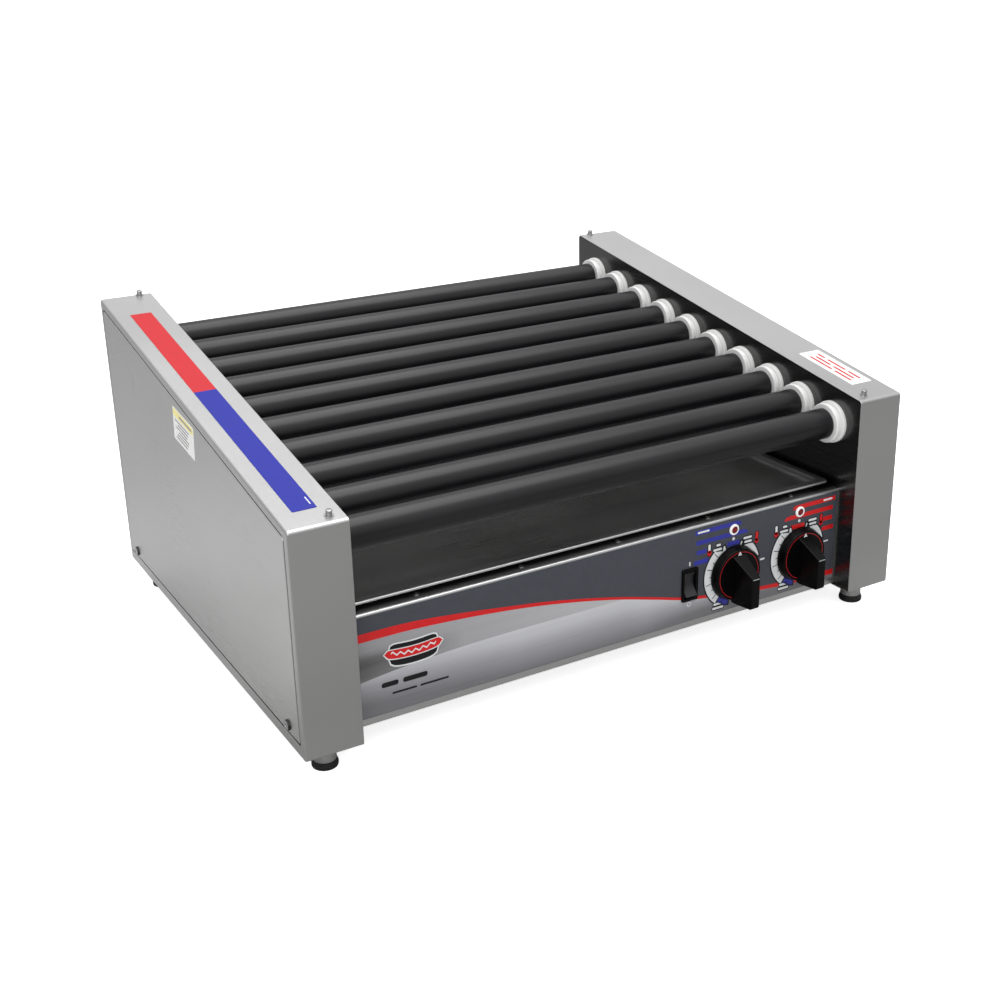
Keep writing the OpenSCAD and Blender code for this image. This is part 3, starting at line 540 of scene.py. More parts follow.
NODE_LOOKS = {
    "coat": ["roller_tube_"],
    "machined": ["roller_hubs_", "motor_sprocket", "idler_sprocket", "tensioner_arm", "front_zone_shaft",
                 "rear_zone_shaft"],
    "wall": ["left_inner_wall", "right_inner_wall"],
    "slate": ["panel_overlay"],
    "panel": ["front_panel"],
    "deck": ["tray_deck"],
    "tray": ["back_panel"],
    "zinc": ["bottom_pan", "element_brackets", "motor_bracket"],
    "sheath": ["heating_elements"],
    "paint": ["gearmotor"],
    "chain": ["drive_chain"],
    "phenolic": ["heat_controls", "terminal_block"],
    "black": ["cable_gland"],
}


def dress_nodes():
    """Gives each CAD node that stays its own look."""
    for look, starts in NODE_LOOKS.items():
        for name, node in frame["nodes"].items():
            if any(name.startswith(start) for start in starts):
                node.data.materials.clear()
                node.data.materials.append(LOOKS[look])


# ---- End housings and their covers ----

FOLD_R = 2.0
BEND_R = 3.5
LOW_BEND_R = 1.5
EDGE = 0.4
BORDERS = [11, 7, 7, 7]
COVER_GAP = 1.4
COVER_RIM = 10
COVER_FOLD = 0.7
OPENING_R = 5
FOLD_STEPS = 5
LUG = Vector((16, 25))
LUG_PLAY = 0.1
COVER_SCREW_Y = 201
COVER_SCREW_UP = 18.4


def side_outline():
    return [(FRONT_Y, FOOT_H), (BACK_Y, FOOT_H), (BACK_Y, top_z(BACK_Y)), (FRONT_Y, top_z(FRONT_Y))]


def side_name(side):
    """side is 1 on the right and -1 on the left."""
    return "left" if side < 0 else "right"


def side_ring(x, distances, radius_top, radius_bottom, side):
    """The end housing's outline moved inwards, at one x."""
    radii = [radius_bottom, radius_bottom, radius_top, radius_top]
    return [Vector((side * x, p.x, p.y)) for p in eased(inset(side_outline(), distances), radii)]


def end_housing(side):
    """A folded wrap, with a border that turns round the outer face."""
    def ring(x, d, shrink=0):
        return side_ring(x, [d] * 4, max(BEND_R - shrink, 0.4), max(LOW_BEND_R - shrink, 0.3), side)

    rings = [ring(INNER_X + EDGE, 0), ring(OUTER_X - FOLD_R, 0)]
    for i in range(1, FOLD_STEPS + 1):
        turn = i / FOLD_STEPS * math.pi / 2
        d = FOLD_R * (1 - math.cos(turn))
        rings.append(ring(OUTER_X - FOLD_R * (1 - math.sin(turn)), d, d))
    for x in (OUTER_X, OUTER_X - SHEET):
        rings.append(side_ring(x, BORDERS, OPENING_R, 1, side))
    corner = 2 * EDGE
    rings.append(ring(OUTER_X - SHEET, SHEET + corner, SHEET + corner))
    rings.append(ring(OUTER_X - SHEET - corner, SHEET, SHEET))
    rings.append(ring(INNER_X + EDGE, SHEET, SHEET))
    rings.append(ring(INNER_X, SHEET - EDGE, SHEET - EDGE))
    rings.append(ring(INNER_X, EDGE, EDGE))
    shape = loft([*rings, rings[0]], caps=OPEN)
    for end in (-1, 1):
        xs = sorted(side * (COVER_X - n * SHEET - LUG_PLAY) for n in (1, 2))
        shape = joined(shape, block((xs[0], end * COVER_SCREW_Y - LUG.x / 2, FOOT_H + SHEET),
                                    (xs[1], end * COVER_SCREW_Y + LUG.x / 2, FOOT_H + LUG.y)))
    name = side_name(side)
    piece(f"{name}_housing_shell", shape, "housing", "stainless", [f"{name}_end_housing"])


DENTS = [(138.7, 231.9), (-145.4, 183.0)]
DENT_SIZE = Vector((4.5, 8))
DENT_DEPTH = 0.8
WAVE_DEPTH = 0.35
WAVE_SIZE = Vector((150, 110))
EDGE_REACH = 60
COVER_STEP = 3.0


def cover_depth(y, z):
    """How far the cover's face lies behind its flat plane: two shallow dents and a slow unevenness."""
    dents = sum(DENT_DEPTH * math.exp(-((y - a) / DENT_SIZE.x) ** 2 - ((z - b) / DENT_SIZE.y) ** 2)
                for a, b in DENTS)
    to_edge = min(y - FRONT_Y, BACK_Y - y, z - FOOT_H, top_z(y) - z)
    inside = max(0, min(1, to_edge / EDGE_REACH))
    wave = noise.noise(Vector((y / WAVE_SIZE.x, z / WAVE_SIZE.y, 0.3)))
    return dents + WAVE_DEPTH * inside * (1 + wave) / 2


def side_cover(side):
    """A shallow pan that closes the end housing's opening, with a folded edge."""
    edge = inset(inset(side_outline(), BORDERS), [COVER_GAP] * 4)
    corner = OPENING_R - COVER_GAP
    inner_edge = SHEET + 0.3

    def ring(x, d):
        radii = [1 + 0.2 * d, 1 + 0.2 * d, corner - d, corner - d]
        return [Vector((side * x, p.x, p.y)) for p in eased(inset(edge, [d] * 4), radii)]

    turns = [i / FOLD_STEPS * math.pi / 2 for i in range(FOLD_STEPS + 1)]
    rings = [ring(COVER_X - COVER_RIM, 0)]
    rings += [ring(COVER_X - COVER_FOLD * (1 - math.sin(t)), COVER_FOLD * (1 - math.cos(t))) for t in turns]
    inner = [ring(COVER_X - SHEET, inner_edge), ring(COVER_X - COVER_RIM, SHEET)]
    turned_in = joined(loft([inner[1], *rings[:2]], caps=OPEN), loft(inner, caps=(True, False)))
    fold = loft(rings[1:], caps=OPEN)
    points, faces = clipped_grid([(p.y, p.z) for p in rings[-1]], COVER_STEP)
    face = [Vector((side * (COVER_X - cover_depth(p.x, p.y)), p.x, p.y)) for p in points], faces
    name = side_name(side)
    piece(f"{name}_cover_panel", joined(fold, face), "cover", "stainless", [f"{name}_side_cover"])
    # The turned-in edge carries painted shade, dark like the gap round the cover
    piece(f"{name}_cover_return", turned_in, "return", "stainless")


# ---- Rollers' seals ----

def seal_profile(out):
    """Two rings with a groove between them, as (radius, distance from the wall)."""
    seal_r = high("roller_seals_right").z - ROLLER_AXES[-1].z
    tip_r, groove_r, hole_r, bore_r = seal_r - 1.3, seal_r - 3.4, 12.5, 10.1
    ring = out * 0.34
    slant = 0.5
    spigot = 4
    outline = [(bore_r, out), (tip_r, out), (tip_r, out - ring), (groove_r, out - ring - slant),
               (groove_r, ring + slant), (seal_r, ring), (seal_r, 0), (hole_r, 0), (hole_r, -spigot),
               (bore_r, -spigot)]
    radii = [0.5, 1.1, 0.9, 0.6, 0.6, 0.9, 0.3, 0, 0.3, 0.3]
    return eased(outline, radii, steps=4)


def seals():
    stand_outs = {-1: high("roller_seals_left").x + INNER_X, 1: INNER_X - low("roller_seals_right").x}
    for side, out in stand_outs.items():
        profile = seal_profile(out)
        centres = [(side * INNER_X, axis.y, axis.z) for axis in ROLLER_AXES]
        rings = lathes([*profile, profile[0]], centres, (-side, 0, 0))
        name = side_name(side)
        piece(f"{name}_seal_rings", rings, "seal", "seal_white", [f"roller_seals_{name}"])


# ---- Drip tray ----

def drip_tray():
    """A pan with a flat rim and a hem turned down round it."""
    lo, hi = low("drip_tray"), high("drip_tray")
    rim, t, hem = 8, 1.0, 2.4
    floor_r, lip_r = 3, 2.2
    floor = lo.z + t
    outline = box_outline(lo, hi)

    def ring(d, z, radius):
        return [Vector((p.x, p.y, z)) for p in eased(inset(outline, [d] * 4), radius)]

    def arc(d, z, r, start, stop, steps=4):
        """Places round a bend whose centre is at inset d and height z."""
        angles = [math.radians(start + (stop - start) * i / steps) for i in range(steps + 1)]
        return [(d - r * math.cos(a), z + r * math.sin(a)) for a in angles]

    inside = arc(rim + t + floor_r, floor + floor_r, floor_r, -90, 0)
    inside += [(rim + t, hi.z - lip_r)] + arc(rim + t - lip_r, hi.z - lip_r, lip_r, 180, 90)[1:]
    bead = hem / 2
    bead_z = hi.z - bead
    inside += arc(bead, bead_z, bead, 90, 0) + arc(bead, bead_z, bead, 0, -90)[1:]
    under = arc(bead, bead_z, bead, -90, -180)[1:]
    under += [(rim - 1.2, hi.z - t), (rim, hi.z - t - 1.2)]
    under += arc(rim + floor_r + t, lo.z + floor_r + t, floor_r + t, 0, -90)
    rings = [ring(d, z, 5 if d < rim - 2 else 6) for d, z in inside + under]
    piece("tray_shell", loft(rings), "tray", "stainless", ["drip_tray"], body="tray")


# ---- Printed overlay ----

LAYER = 0.03
STRIPE = [(-250, 100.4, 7.4), (-200, 100.0, 7.0), (-155, 96.7, 5.4), (-115, 92.3, 3.8), (-75, 87.0, 3.2),
          (-35, 79.9, 2.7), (5, 71.2, 2.5), (45, 60.6, 2.5), (70, 53.9, 2.6), (98, 48.9, 3.0),
          (160, 41.2, 3.6), (200, 38.4, 4.4), (250, 36.4, 5.4)]
SILVER_EDGE = [(-250, 61.0), (-215, 65.2), (-161, 68.6), (-110, 69.8), (-50, 69.8), (10, 69.9)]


def flat_print(name, shapes, look, layer, tone=None):
    """Ink on the overlay, on a layer just in front of the film. tone(x, z) shades a grid."""
    y = PRINT_Y - LAYER * (layer + 1)
    obj = piece(name, joined(*shapes), look, "overlay_print")
    for vertex in obj.data.vertices:
        vertex.co.y += y * MM
    if tone:
        values = obj.data.attributes.new("tone", "FLOAT", "POINT")
        for vertex in obj.data.vertices:
            values.data[vertex.index].value = tone(vertex.co.x / MM, vertex.co.z / MM)


def sheet_of(outline):
    """A flat shape in (x, z)."""
    return [Vector((p[0], 0, p[1])) for p in outline], [list(range(len(outline)))]


def strip(lower, upper):
    """A flat band between two lines with the same number of points."""
    return loft([[Vector((p[0], 0, p[1])) for p in line] for line in (lower, upper)], wrap=False,
                caps=OPEN)


def arc_strip(centre, inner, outer, start, stop, steps=24):
    """A band round a centre. Angles are in degrees clockwise from the top; radii may be (start, stop)."""
    inner = inner if isinstance(inner, tuple) else (inner, inner)
    outer = outer if isinstance(outer, tuple) else (outer, outer)
    lines = ([], [])
    for i in range(steps + 1):
        t = i / steps
        a = math.radians(start + (stop - start) * t)
        for line, (r0, r1) in zip(lines, (inner, outer)):
            r = r0 + (r1 - r0) * t
            line.append((centre[0] + r * math.sin(a), centre[1] + r * math.cos(a)))
    return strip(*lines)


def dash(x0, x1, z, height, slant=0.0):
    """A line of print as a plain bar with round ends."""
    h = height / 2
    outline = [(x0, z - h), (x1, z - h), (x1 + slant, z + h), (x0 + slant, z + h)]
    return sheet_of(eased(outline, min(h, (x1 - x0) / 2) * 0.85, steps=4))


def stripe_lines():
    line = curve_through(STRIPE, steps=8)
    lower = [(p.x, p.y - p.z / 2) for p in line]
    upper = [(p.x, p.y + p.z / 2) for p in line]
    return lower, upper


def line_height(line, x):
    """Height of a line of points at x, with the line running on level past its ends."""
    for (xa, za), (xb, zb) in zip(line, line[1:]):
        if xa <= x <= xb:
            return za + (zb - za) * (x - xa) / (xb - xa)
    return line[0][1] if x < line[0][0] else line[-1][1]


def cut_line(line, x0, x1):
    """The part of a line of points between two values of x."""
    middle = [p for p in line if x0 < p[0] < x1]
    return [(x0, line_height(line, x0)), *middle, (x1, line_height(line, x1))]


def overlay_background():
    """Red stripe, brushed grey band and silver field of the overlay."""
    lower, upper = stripe_lines()
    edge = [(p.x, p.y) for p in curve_through([(*p, 0) for p in SILVER_EDGE], steps=8)]
    bottom = OVERLAY_LOW.z + 0.3
    tuck = 0.4
    xs = [p[0] for p in lower]
    band_end = edge[-1][0]

    def stripe_bottom(x):
        return line_height(lower, x) + tuck

    def silver_top(x):
        return min(stripe_bottom(x), line_height(edge, x)) if x < band_end else stripe_bottom(x)

    def grid(places, start, stop, rows=8):
        """A grid between two heights that run with x."""
        return loft([[Vector((x, 0, start(x) + (stop(x) - start(x)) * j / rows)) for x in places]
                     for j in range(rows + 1)], wrap=False, caps=OPEN)

    # The fade down from the stripe is the print's own; the darkening towards both ends is painted reflection
    def silver_tone_and_reflection(x, z):
        share = (z - bottom) / max(silver_top(x) - bottom, 1)
        return min(1, max(0, share - 1.1 * max(0, x - 30) / 190 - 0.32 * max(0, -100 - x) / 130))

    def band_tone(x, z):
        left = min(1, max(0, (-150 - x) / 90))
        dark = 0.6 * math.exp(-((z - 77) / 7) ** 2) + 0.35 * math.exp(-((z - 66) / 5) ** 2)
        return 1 - left * dark - 0.25 * min(1, max(0, -x / 250))

    silver = grid(xs, lambda x: bottom, silver_top)
    band = grid([x for x in xs if x <= band_end], silver_top, stripe_bottom)
    flat_print("print_silver_field", [silver], "silver", 0, silver_tone_and_reflection)
    flat_print("print_grey_band", [band], "band", 0, band_tone)
    # The stripe runs behind the rocker's bezel but not across the opening that the paddle moves in
    spans = ((xs[0], ROCKER_AXIS.x - 6.6), (ROCKER_AXIS.x + 4, xs[-1]))
    parts = [strip(cut_line(lower, *span), cut_line(upper, *span)) for span in spans]
    flat_print("print_red_stripe", parts, "red", 1)


BAR_H = 4.2


def zone_bar(start, stop, z, taper):
    """A coloured bar, whose stop end may run out to a low rounded point. start and stop are x."""
    h = BAR_H / 2
    way = 1 if stop > start else -1
    if not taper:
        return sheet_of(eased(box_outline((min(start, stop), z - h), (max(start, stop), z + h)), 0.5, 3))
    tip = [(stop - way * taper, z + h), (stop - way * taper * 0.35, z + h * 0.55), (stop, z - h)]
    nose = curve_through([(*p, 0) for p in tip], steps=5)
    outline = [(start, z - h), (start, z + h)] + [(p.x, p.y) for p in nose]
    return sheet_of(outline if way < 0 else outline[::-1])


# Places round a dial, in millimetres from its axis
BARS_UP = BARS_Z - KNOB_AXES["front"].z
# Zone bars as (start x, stop x, z, taper)
ZONE_BARS = {
    "front": [(-44.5, 8, BARS_UP + 6.2, 6), (-43, 15.5, BARS_UP - 3.5, 7), (-42.5, -31.5, 28.4, 0),
              (-8.3, 6, 28.6, 0), (-45.5, -29, 18.9, 0)],
    "rear": [(42.2, -9.8, BARS_UP + 5.5, 5), (39.6, -19.5, BARS_UP - 3.5, 7), (39.6, 23.4, 27.8, 0),
             (-11.4, 5.5, 27.8, 0), (41.5, 26.6, 18.1, 3)]}
# Bands of an arc strip as (inner, outer, start, stop, steps)
DARK_BANDS = [(22, 34.6, -147, -36, 24), (22, 27.5, -36, -20, 6), (22, 32.4, -172, -147, 6),
              (25, 31.4, -28, -19, 4), (22, 31, 12, 24, 4), (22, (26.4, 33), 24, 41, 6),
              (22, (33, 31.6), 41, 75, 10)]
PALE_BANDS = [(24.2, 33.2, -142, -40, 24), (24.2, (31.6, 26.4), -40, -29, 5),
              (24.2, (26.4, 30.2), -29, -24, 3), (24.4, 30.2, -24, -21.4, 2), (23.4, 29.6, 15.2, 18, 2),
              (23.4, (24.9, 25.2), 18, 23, 3), ((23.4, 25.2), (25.2, 31.8), 23, 42, 8),
              ((25.2, 29.6), (31.8, 30.3), 42, 71, 10)]
# Lines of print as (first x, last x, z), and thermometers as (x, bulb z, stem height)
PRINT_LINES = [(-20.6, -15.6, 30.6), (-24.0, -14.2, 26.4), (10.2, 20.0, 30.4), (11.4, 20.0, 26.5),
               (-21.8, -12.2, -27.6), (-23.2, -10.6, -31.6)]
THERMOMETERS = [(-28.4, 24.8, 8.4), (25.8, 24.6, 8.6)]
BULB_R = 2.3
TICKS = 7
TICK_FIRST, TICK_STEP = -44.5, -14.5


def dial(axis, bar_look, name):
    """One heat control's printed scale: bands, ticks, thermometers, lines of print and zone bars."""
    cx, cz = axis.x, axis.z
    cold, hot = THERMOMETERS

    def bands(rows):
        return [arc_strip((cx, cz), *row) for row in rows]

    def line(x0, x1, z, height, slant=0.0):
        return dash(cx + x0, cx + x1, cz + z, height, slant)

    def dot(x, z, r):
        return sheet_of(circle((cx + x, cz + z), r))

    bars = [zone_bar(cx + start, cx + stop, cz + z, taper) for start, stop, z, taper in ZONE_BARS[name]]
    flat_print(f"print_{name}_bars", bars, bar_look, 1)

    dark = bands(DARK_BANDS)
    dark += [line(x0 - 0.9, x1 + 0.9, z, 4.2) for x0, x1, z in PRINT_LINES]
    dark += [line(x - BULB_R, x + BULB_R, z + h / 2 - 1, h + 4) for x, z, h in THERMOMETERS]
    flat_print(f"print_{name}_outline", dark, "outline", 2)

    pale = bands(PALE_BANDS) + [line(x0, x1, z, 2.2) for x0, x1, z in PRINT_LINES]
    pale += [line(30.4, 36, 4.6, 1.7, 0.6), dot(-1.2, 32.8, 1.5)]
    pale.append(line(cold[0] - 1.3, cold[0] + 1.3, cold[1] + 5.4, 6.6))
    flat_print(f"print_{name}_scale", pale, "white", 3)

    angles = [TICK_FIRST + TICK_STEP * i for i in range(TICKS)]
    ticks = bands([(24.2, 28 if i % 2 else 31.6, a - 0.75, a + 0.75, 2) for i, a in enumerate(angles)])
    flat_print(f"print_{name}_ticks", ticks, "outline", 4)
    flat_print(f"print_{name}_start", bands([((24.2, 27.5), (31.6, 31.2), -145, -169, 8)]), "blue", 3)

    bulbs = [dot(cold[0], cold[1], BULB_R), line(cold[0] - 1.3, cold[0] + 1.3, cold[1] + 1.5, 3),
             dot(hot[0], hot[1], BULB_R), line(hot[0] - 1.5, hot[0] + 1.5, hot[1] + hot[2] / 2, hot[2] + 1)]
    flat_print(f"print_{name}_bulbs", bulbs, "red", 4)


def rocker_marks():
    """Bar and ring for on and off."""
    x, z = ROCKER_AXIS.x, ROCKER_AXIS.z
    bar = dash(x - 0.7, x + 0.7, z + 19.8, 4.2)
    ring = arc_strip((x, z - 19.4), 1.5, 2.3, 0, 360)
    flat_print("print_rocker_marks", [bar, ring], "white", 3)


def zone_marks():
    """White lines of print in the ends of the top bars."""
    blue_x, red_x = KNOB_AXES["front"].x, KNOB_AXES["rear"].x
    marks = [dash(blue_x - 42, blue_x - 29, BARS_Z + 6.3, 1.9),
             dash(red_x + 27.5, red_x + 38.5, BARS_Z + 5.5, 1.9)]
    flat_print("print_zone_marks", marks, "white", 2)


def pill(start, stop, middle, height, lift, steps=16):
    """A long rounded shape whose middle is lifted. start and stop are x."""
    lower, upper = [], []
    for i in range(steps + 1):
        share = 2 * i / steps - 1
        x = start + (stop - start) * i / steps
        z = middle + lift * (1 - share ** 2)
        half = height / 2 * math.sqrt(max(0, 1 - share ** 8))
        lower.append((x, z - half))
        upper.append((x, z + half))
    return strip(lower, upper)


def pictogram():
    """A plain hot dog in a bun, with two lines of print under it."""
    x0, x1, z = -222, -170, 79
    sag = -2.6
    waves, margin = 24, 6
    line = []
    for i in range(waves + 1):
        rise = 1.6 + sag * (1 - (2 * i / waves - 1) ** 2) + 1.3 * math.sin(i * math.pi / 2)
        line.append((x0 + margin + i * (x1 - x0 - 2 * margin) / waves, z + rise))
    mustard = strip([(x, y - 0.7) for x, y in line], [(x, y + 0.7) for x, y in line])
    flat_print("print_bun_edge", [pill(x0 + 2, x1 - 2, z + 0.8, 21.5, -2.5)], "white", 1)
    flat_print("print_bun", [pill(x0 + 3, x1 - 3, z + 0.8, 19, -2.5)], "outline", 2)
    flat_print("print_sausage_edge", [pill(x0 - 1, x1 + 1, z + 1.8, 9.6, sag)], "white", 3)
    flat_print("print_sausage", [pill(x0, x1, z + 1.8, 8, sag)], "red", 4)
    flat_print("print_mustard", [mustard], "white", 5)
    words = [(-226, -211, 54.6, 4.4), (-207, -185, 54.6, 4.4), (-217, -195, 45.6, 1.8),
             (-192, -166, 45.6, 1.8)]
    flat_print("print_words", [dash(*word, slant=0.8) for word in words], "outline", 2)


# ---- Knobs ----

def on_panel(u, v, w):
    """Panel coordinates: u to the right, v up, w out of the panel."""
    return Vector((u, -w, v))


GRIP_W = 9.2
GRIP_BASE_W = 15
SKIRT_H = 9
KNOB_BASE = 1


def knob(name, axis):
    """Skirt with a dished face and a bar grip whose top end slopes down to the pointer."""
    node = f"{name}_zone_knob"
    body = f"{name}_zone_control"
    lo, hi = low(node), high(node)
    r = (hi.x - lo.x) / 2
    back = -hi.y
    front = -lo.y
    face = back - KNOB_BASE + SKIRT_H
    root = face - 1.5
    hollow_r = r - 4.5
    dish = 0.5
    lift = 0.03

    def turned(profile):
        return lathe(profile, (axis.x, 0, axis.z), (0, -1, 0), 96)

    def half_width(d):
        return (GRIP_BASE_W + (GRIP_W - GRIP_BASE_W) * (d - face) / (front - face)) / 2

    def flat_mark(points, d):
        return [on_panel(axis.x + x, axis.z + z, d) for x, z in points], [list(range(len(points)))]

    skirt = eased([(hollow_r, back), (r, back), (r - 0.4, back + 2.2), (r - 2.4, face),
                   (r - 4.6, face - dish), (0, face - dish)], [0, 0.5, 1.5, 1.0, 0.6, 0], 4, closed=False)
    cup = [(hollow_r, back), (hollow_r, face - 3), (0, face - 3)]
    side = eased([(root, 19.6), (root, -r + 1), (face + 3, -r + 0.6), (front - 1.5, -r + 1.4),
                  (front, -r + 3), (front, 5.4)], [0, 0, 2, 2, 1.6, 0], steps=4)
    grip = loft([[on_panel(axis.x + s * half_width(d), axis.z + z, d) for d, z in side] for s in (-1, 1)])
    piece(f"{name}_knob_body", joined(turned(skirt), turned(cup)), "black", "black_plastic", [node], body)
    piece(f"{name}_knob_grip", grip, "black", "black_plastic", body=body, bevel=0.7)

    ring = turned([(r - 4.8, face - 0.4), (r - 3.8, face - 0.4)])
    arrow = [(-2.2, 19.2), (2.2, 19.2), (0.0, 23.0)]
    mark = [(-3.6, 4.6), (3.6, 4.6), (3.6, 3.7), (-3.6, 3.7)]
    piece(f"{name}_knob_red_ring", ring, "ring_red", body=body)
    piece(f"{name}_knob_arrow", flat_mark(arrow, face - 0.28), "white", body=body)
    piece(f"{name}_knob_mark", flat_mark(mark, front + lift), "mark", body=body)


# ---- Rocker switch and pilot lamps ----

def rocker_bezel():
    """A frame with rounded edges round a deep well, and the body behind the panel."""
    lo, hi = low("rocker_housing"), high("rocker_housing")
    front, base = -lo.y, -PRINT_Y
    well_depth, body_depth = 9.5, 20
    centre = Vector((ROCKER_AXIS.x, ROCKER_AXIS.z))
    outer = Vector(((hi.x - lo.x) / 2, (hi.z - lo.z) / 2))
    well = outer - Vector((2.45, 3.05))
    body = outer - Vector((0.85, 1.25))

    def ring(half, grow, w, radius):
        half = half + Vector((grow, grow))
        return [on_panel(p.x, p.y, w) for p in eased(box_outline(centre - half, centre + half), radius)]

    rings = [ring(outer, 0, base, 1.5), ring(outer, 0, front - 0.8, 1.5), ring(outer, -0.3, front - 0.2, 1.4),
             ring(outer, -0.9, front, 1.2), ring(well, 0.5, front, 0.9), ring(well, 0, front - 0.5, 0.6),
             ring(well, 0, front - well_depth, 0.6)]
    behind = [ring(outer, 0, base, 1.5), ring(body, 0, base, 0.5), ring(body, 0, base - body_depth, 0.5)]
    shape = joined(loft(rings, caps=(False, True)), loft(behind, caps=(False, True)))
    piece("rocker_bezel", shape, "black", "black_plastic", ["rocker_housing"])


def rocker_paddle():
    """A paddle with a dished face, resting with its lower half pressed in."""
    tilt = math.radians(10)
    cos, sin = math.cos(tilt), math.sin(tilt)
    half_w, half_h, steps = 6.1, 11.0, 8
    heel = (-5.2, 11.2)
    shares = [i / steps for i in range(steps, -steps - 1, -1)]
    dished = [(0.3 + 4.6 * abs(t) ** 1.7, half_h * t) for t in shares]
    outline = [(-4.4, 0), heel, *dished, (heel[0], -heel[1])]
    turned = [(w * cos - v * sin, w * sin + v * cos) for w, v in outline]
    rings = [[on_panel(ROCKER_AXIS.x + s * half_w, ROCKER_AXIS.z + v, -ROCKER_AXIS.y + w) for w, v in turned]
             for s in (-1, 1)]
    piece("rocker_paddle", loft(rings), "paddle", "black_plastic", ["rocker_button"], "power_switch", 0.5)


def pilot_lamps():
    """White rims round domed red lenses."""
    lo, hi = low("pilot_bezels"), high("pilot_bezels")
    base, front = -PRINT_Y, -lo.y
    r = (hi.z - lo.z) / 2
    hole_r, body_r, lens_r = 3.4, 4.1, 3.35
    rim_back, lens_back = base - 12, base - 9
    dome_foot, dome_h = front - 0.9, 1.3
    rim = eased([(hole_r, rim_back), (body_r, rim_back), (body_r, base), (r, base), (r, base + 0.9),
                 (r - 1, front), (hole_r, front), (hole_r, rim_back)],
                [0, 0, 0, 0.2, 0.5, 0.35, 0.2, 0], steps=3, closed=False)
    turns = [math.radians(10 * i) for i in range(10)]
    dome = [(lens_r, lens_back)] + [(lens_r * math.cos(a), dome_foot + dome_h * math.sin(a)) for a in turns]
    places = [(x, 0, (lo.z + hi.z) / 2) for x in (lo.x + r, hi.x - r)]
    for name, profile, look, slot, node in (("pilot_rims", rim, "white_cap", "bezel_white", "pilot_bezels"),
                                            ("pilot_domes", dome, "lens", "lens_red", "pilot_lenses")):
        piece(name, lathes(profile, places, (0, -1, 0), 48), look, slot, [node])


# ---- Feet, studs and screws ----

FEET = ((277, -209), (281, 196))
STUD_YS = (-221, 226)
BACK_SCREW_ZS = (60, 140, 220)
DECK_SCREWS = 5
DECK_SCREW_FIRST = -186.8
DECK_SCREW_GAP = 97
DECK_SCREW_IN = 9.8
FROM_WALL = 12


def feet():
    """Steel sleeves on rubber pads with a groove round them."""
    pad_r, sleeve_r = 10.8, 9.5
    pad_h = high("foot_pads").z
    sleeve = eased([(0, pad_h), (sleeve_r, pad_h), (sleeve_r, FOOT_H), (0, FOOT_H)], [0, 0.6, 0.8, 0],
                   closed=False)
    pad = eased([(0, 0), (pad_r - 0.4, 0), (pad_r, 1.6), (pad_r, pad_h - 2.4), (pad_r - 0.9, pad_h - 1.9),
                 (pad_r - 0.5, pad_h), (0, pad_h)], [0, 0.8, 0.8, 0.4, 0.4, 0.6, 0], closed=False)
    places = [(side * x, y, 0) for side in (-1, 1) for x, y in FEET]
    for name, profile, look, slot, node in (("foot_tubes", sleeve, "housing", "stainless", "foot_sleeves"),
                                            ("foot_rubbers", pad, "rubber", "rubber", "foot_pads")):
        piece(name, lathes(profile, places, (0, 0, 1)), look, slot, [node])


def studs():
    """Pins with a collar on the sloped tops."""
    shank, collar, pin = 2, 3.8, 2.5
    stud = eased([(0, -2.7), (shank, -2.7), (shank, 0), (collar, 0), (collar, 0.5), (pin, 0.5),
                  (pin, 5), (0, 5)], [0, 0.4, 0, 0, 0.15, 0, 0.7, 0], steps=3, closed=False)
    places = [(side * (INNER_X + FROM_WALL), y, top_z(y)) for side in (-1, 1) for y in STUD_YS]
    piece("stud_pins", lathes(stud, places, OFF_SLOPE, 40), "screw", "screw_steel", ["top_studs"])


def cross_outline(half_w=0.38, arm=1.55):
    """A cross with a point in the middle of each edge."""
    quarter = [(arm, -half_w), (arm, half_w), (half_w, half_w)]
    corners = [Matrix.Rotation(math.radians(90 * k), 2) @ Vector(p) for k in range(4) for p in quarter]
    return [q for i, p in enumerate(corners) for q in (p, (p + corners[(i + 1) % len(corners)]) / 2)]


def cross_screw(at, out, scale=1.0):
    """A pan head with a cross recess on a short shank. out points away from the sheet."""
    out = Vector(out).normalized()
    side = out.orthogonal().normalized()
    other = out.cross(side)
    cross = cross_outline()

    def ring(points, h):
        return [Vector(at) + (side * p.x + other * p.y) * scale + out * h for p in points]

    head = [(1.5, -6), (1.5, 0), (2.8, 0), (2.8, 0.35), (2.6, 0.7), (2.2, 0.92), (1.8, 1.0)]
    rings = [ring([p.normalized() * r for p in cross], h) for r, h in head]
    rings += [ring(cross, 1.02), ring([p * 0.8 for p in cross], 0.25)]
    return loft(rings)


def cover_screws():
    """Tall heads: a bright cap with a cross recess, on an edge darkened with painted shadow."""
    edge_r, edge_h, cap_scale = 4.5, 1.18, 1.4
    top = edge_h + 0.4
    edge = eased([(0, 0), (edge_r, 0), (edge_r, top - 0.1), (edge_r - 0.5, top), (0, top)],
                 [0, 0, 0.3, 0.1, 0], steps=3, closed=False)
    caps, edges = [], []
    for side in (-1, 1):
        for end in (-1, 1):
            at = Vector((side * COVER_X, end * COVER_SCREW_Y, FOOT_H + COVER_SCREW_UP))
            edges.append(lathe(edge, at, (side, 0, 0), 40))
            caps.append(cross_screw(at + Vector((side * edge_h, 0, 0)), (side, 0, 0), cap_scale))
    piece("cover_screw_caps", joined(*caps), "screw", "screw_steel")
    piece("cover_screw_painted_shadow_edges", joined(*edges), "return", "screw_steel")


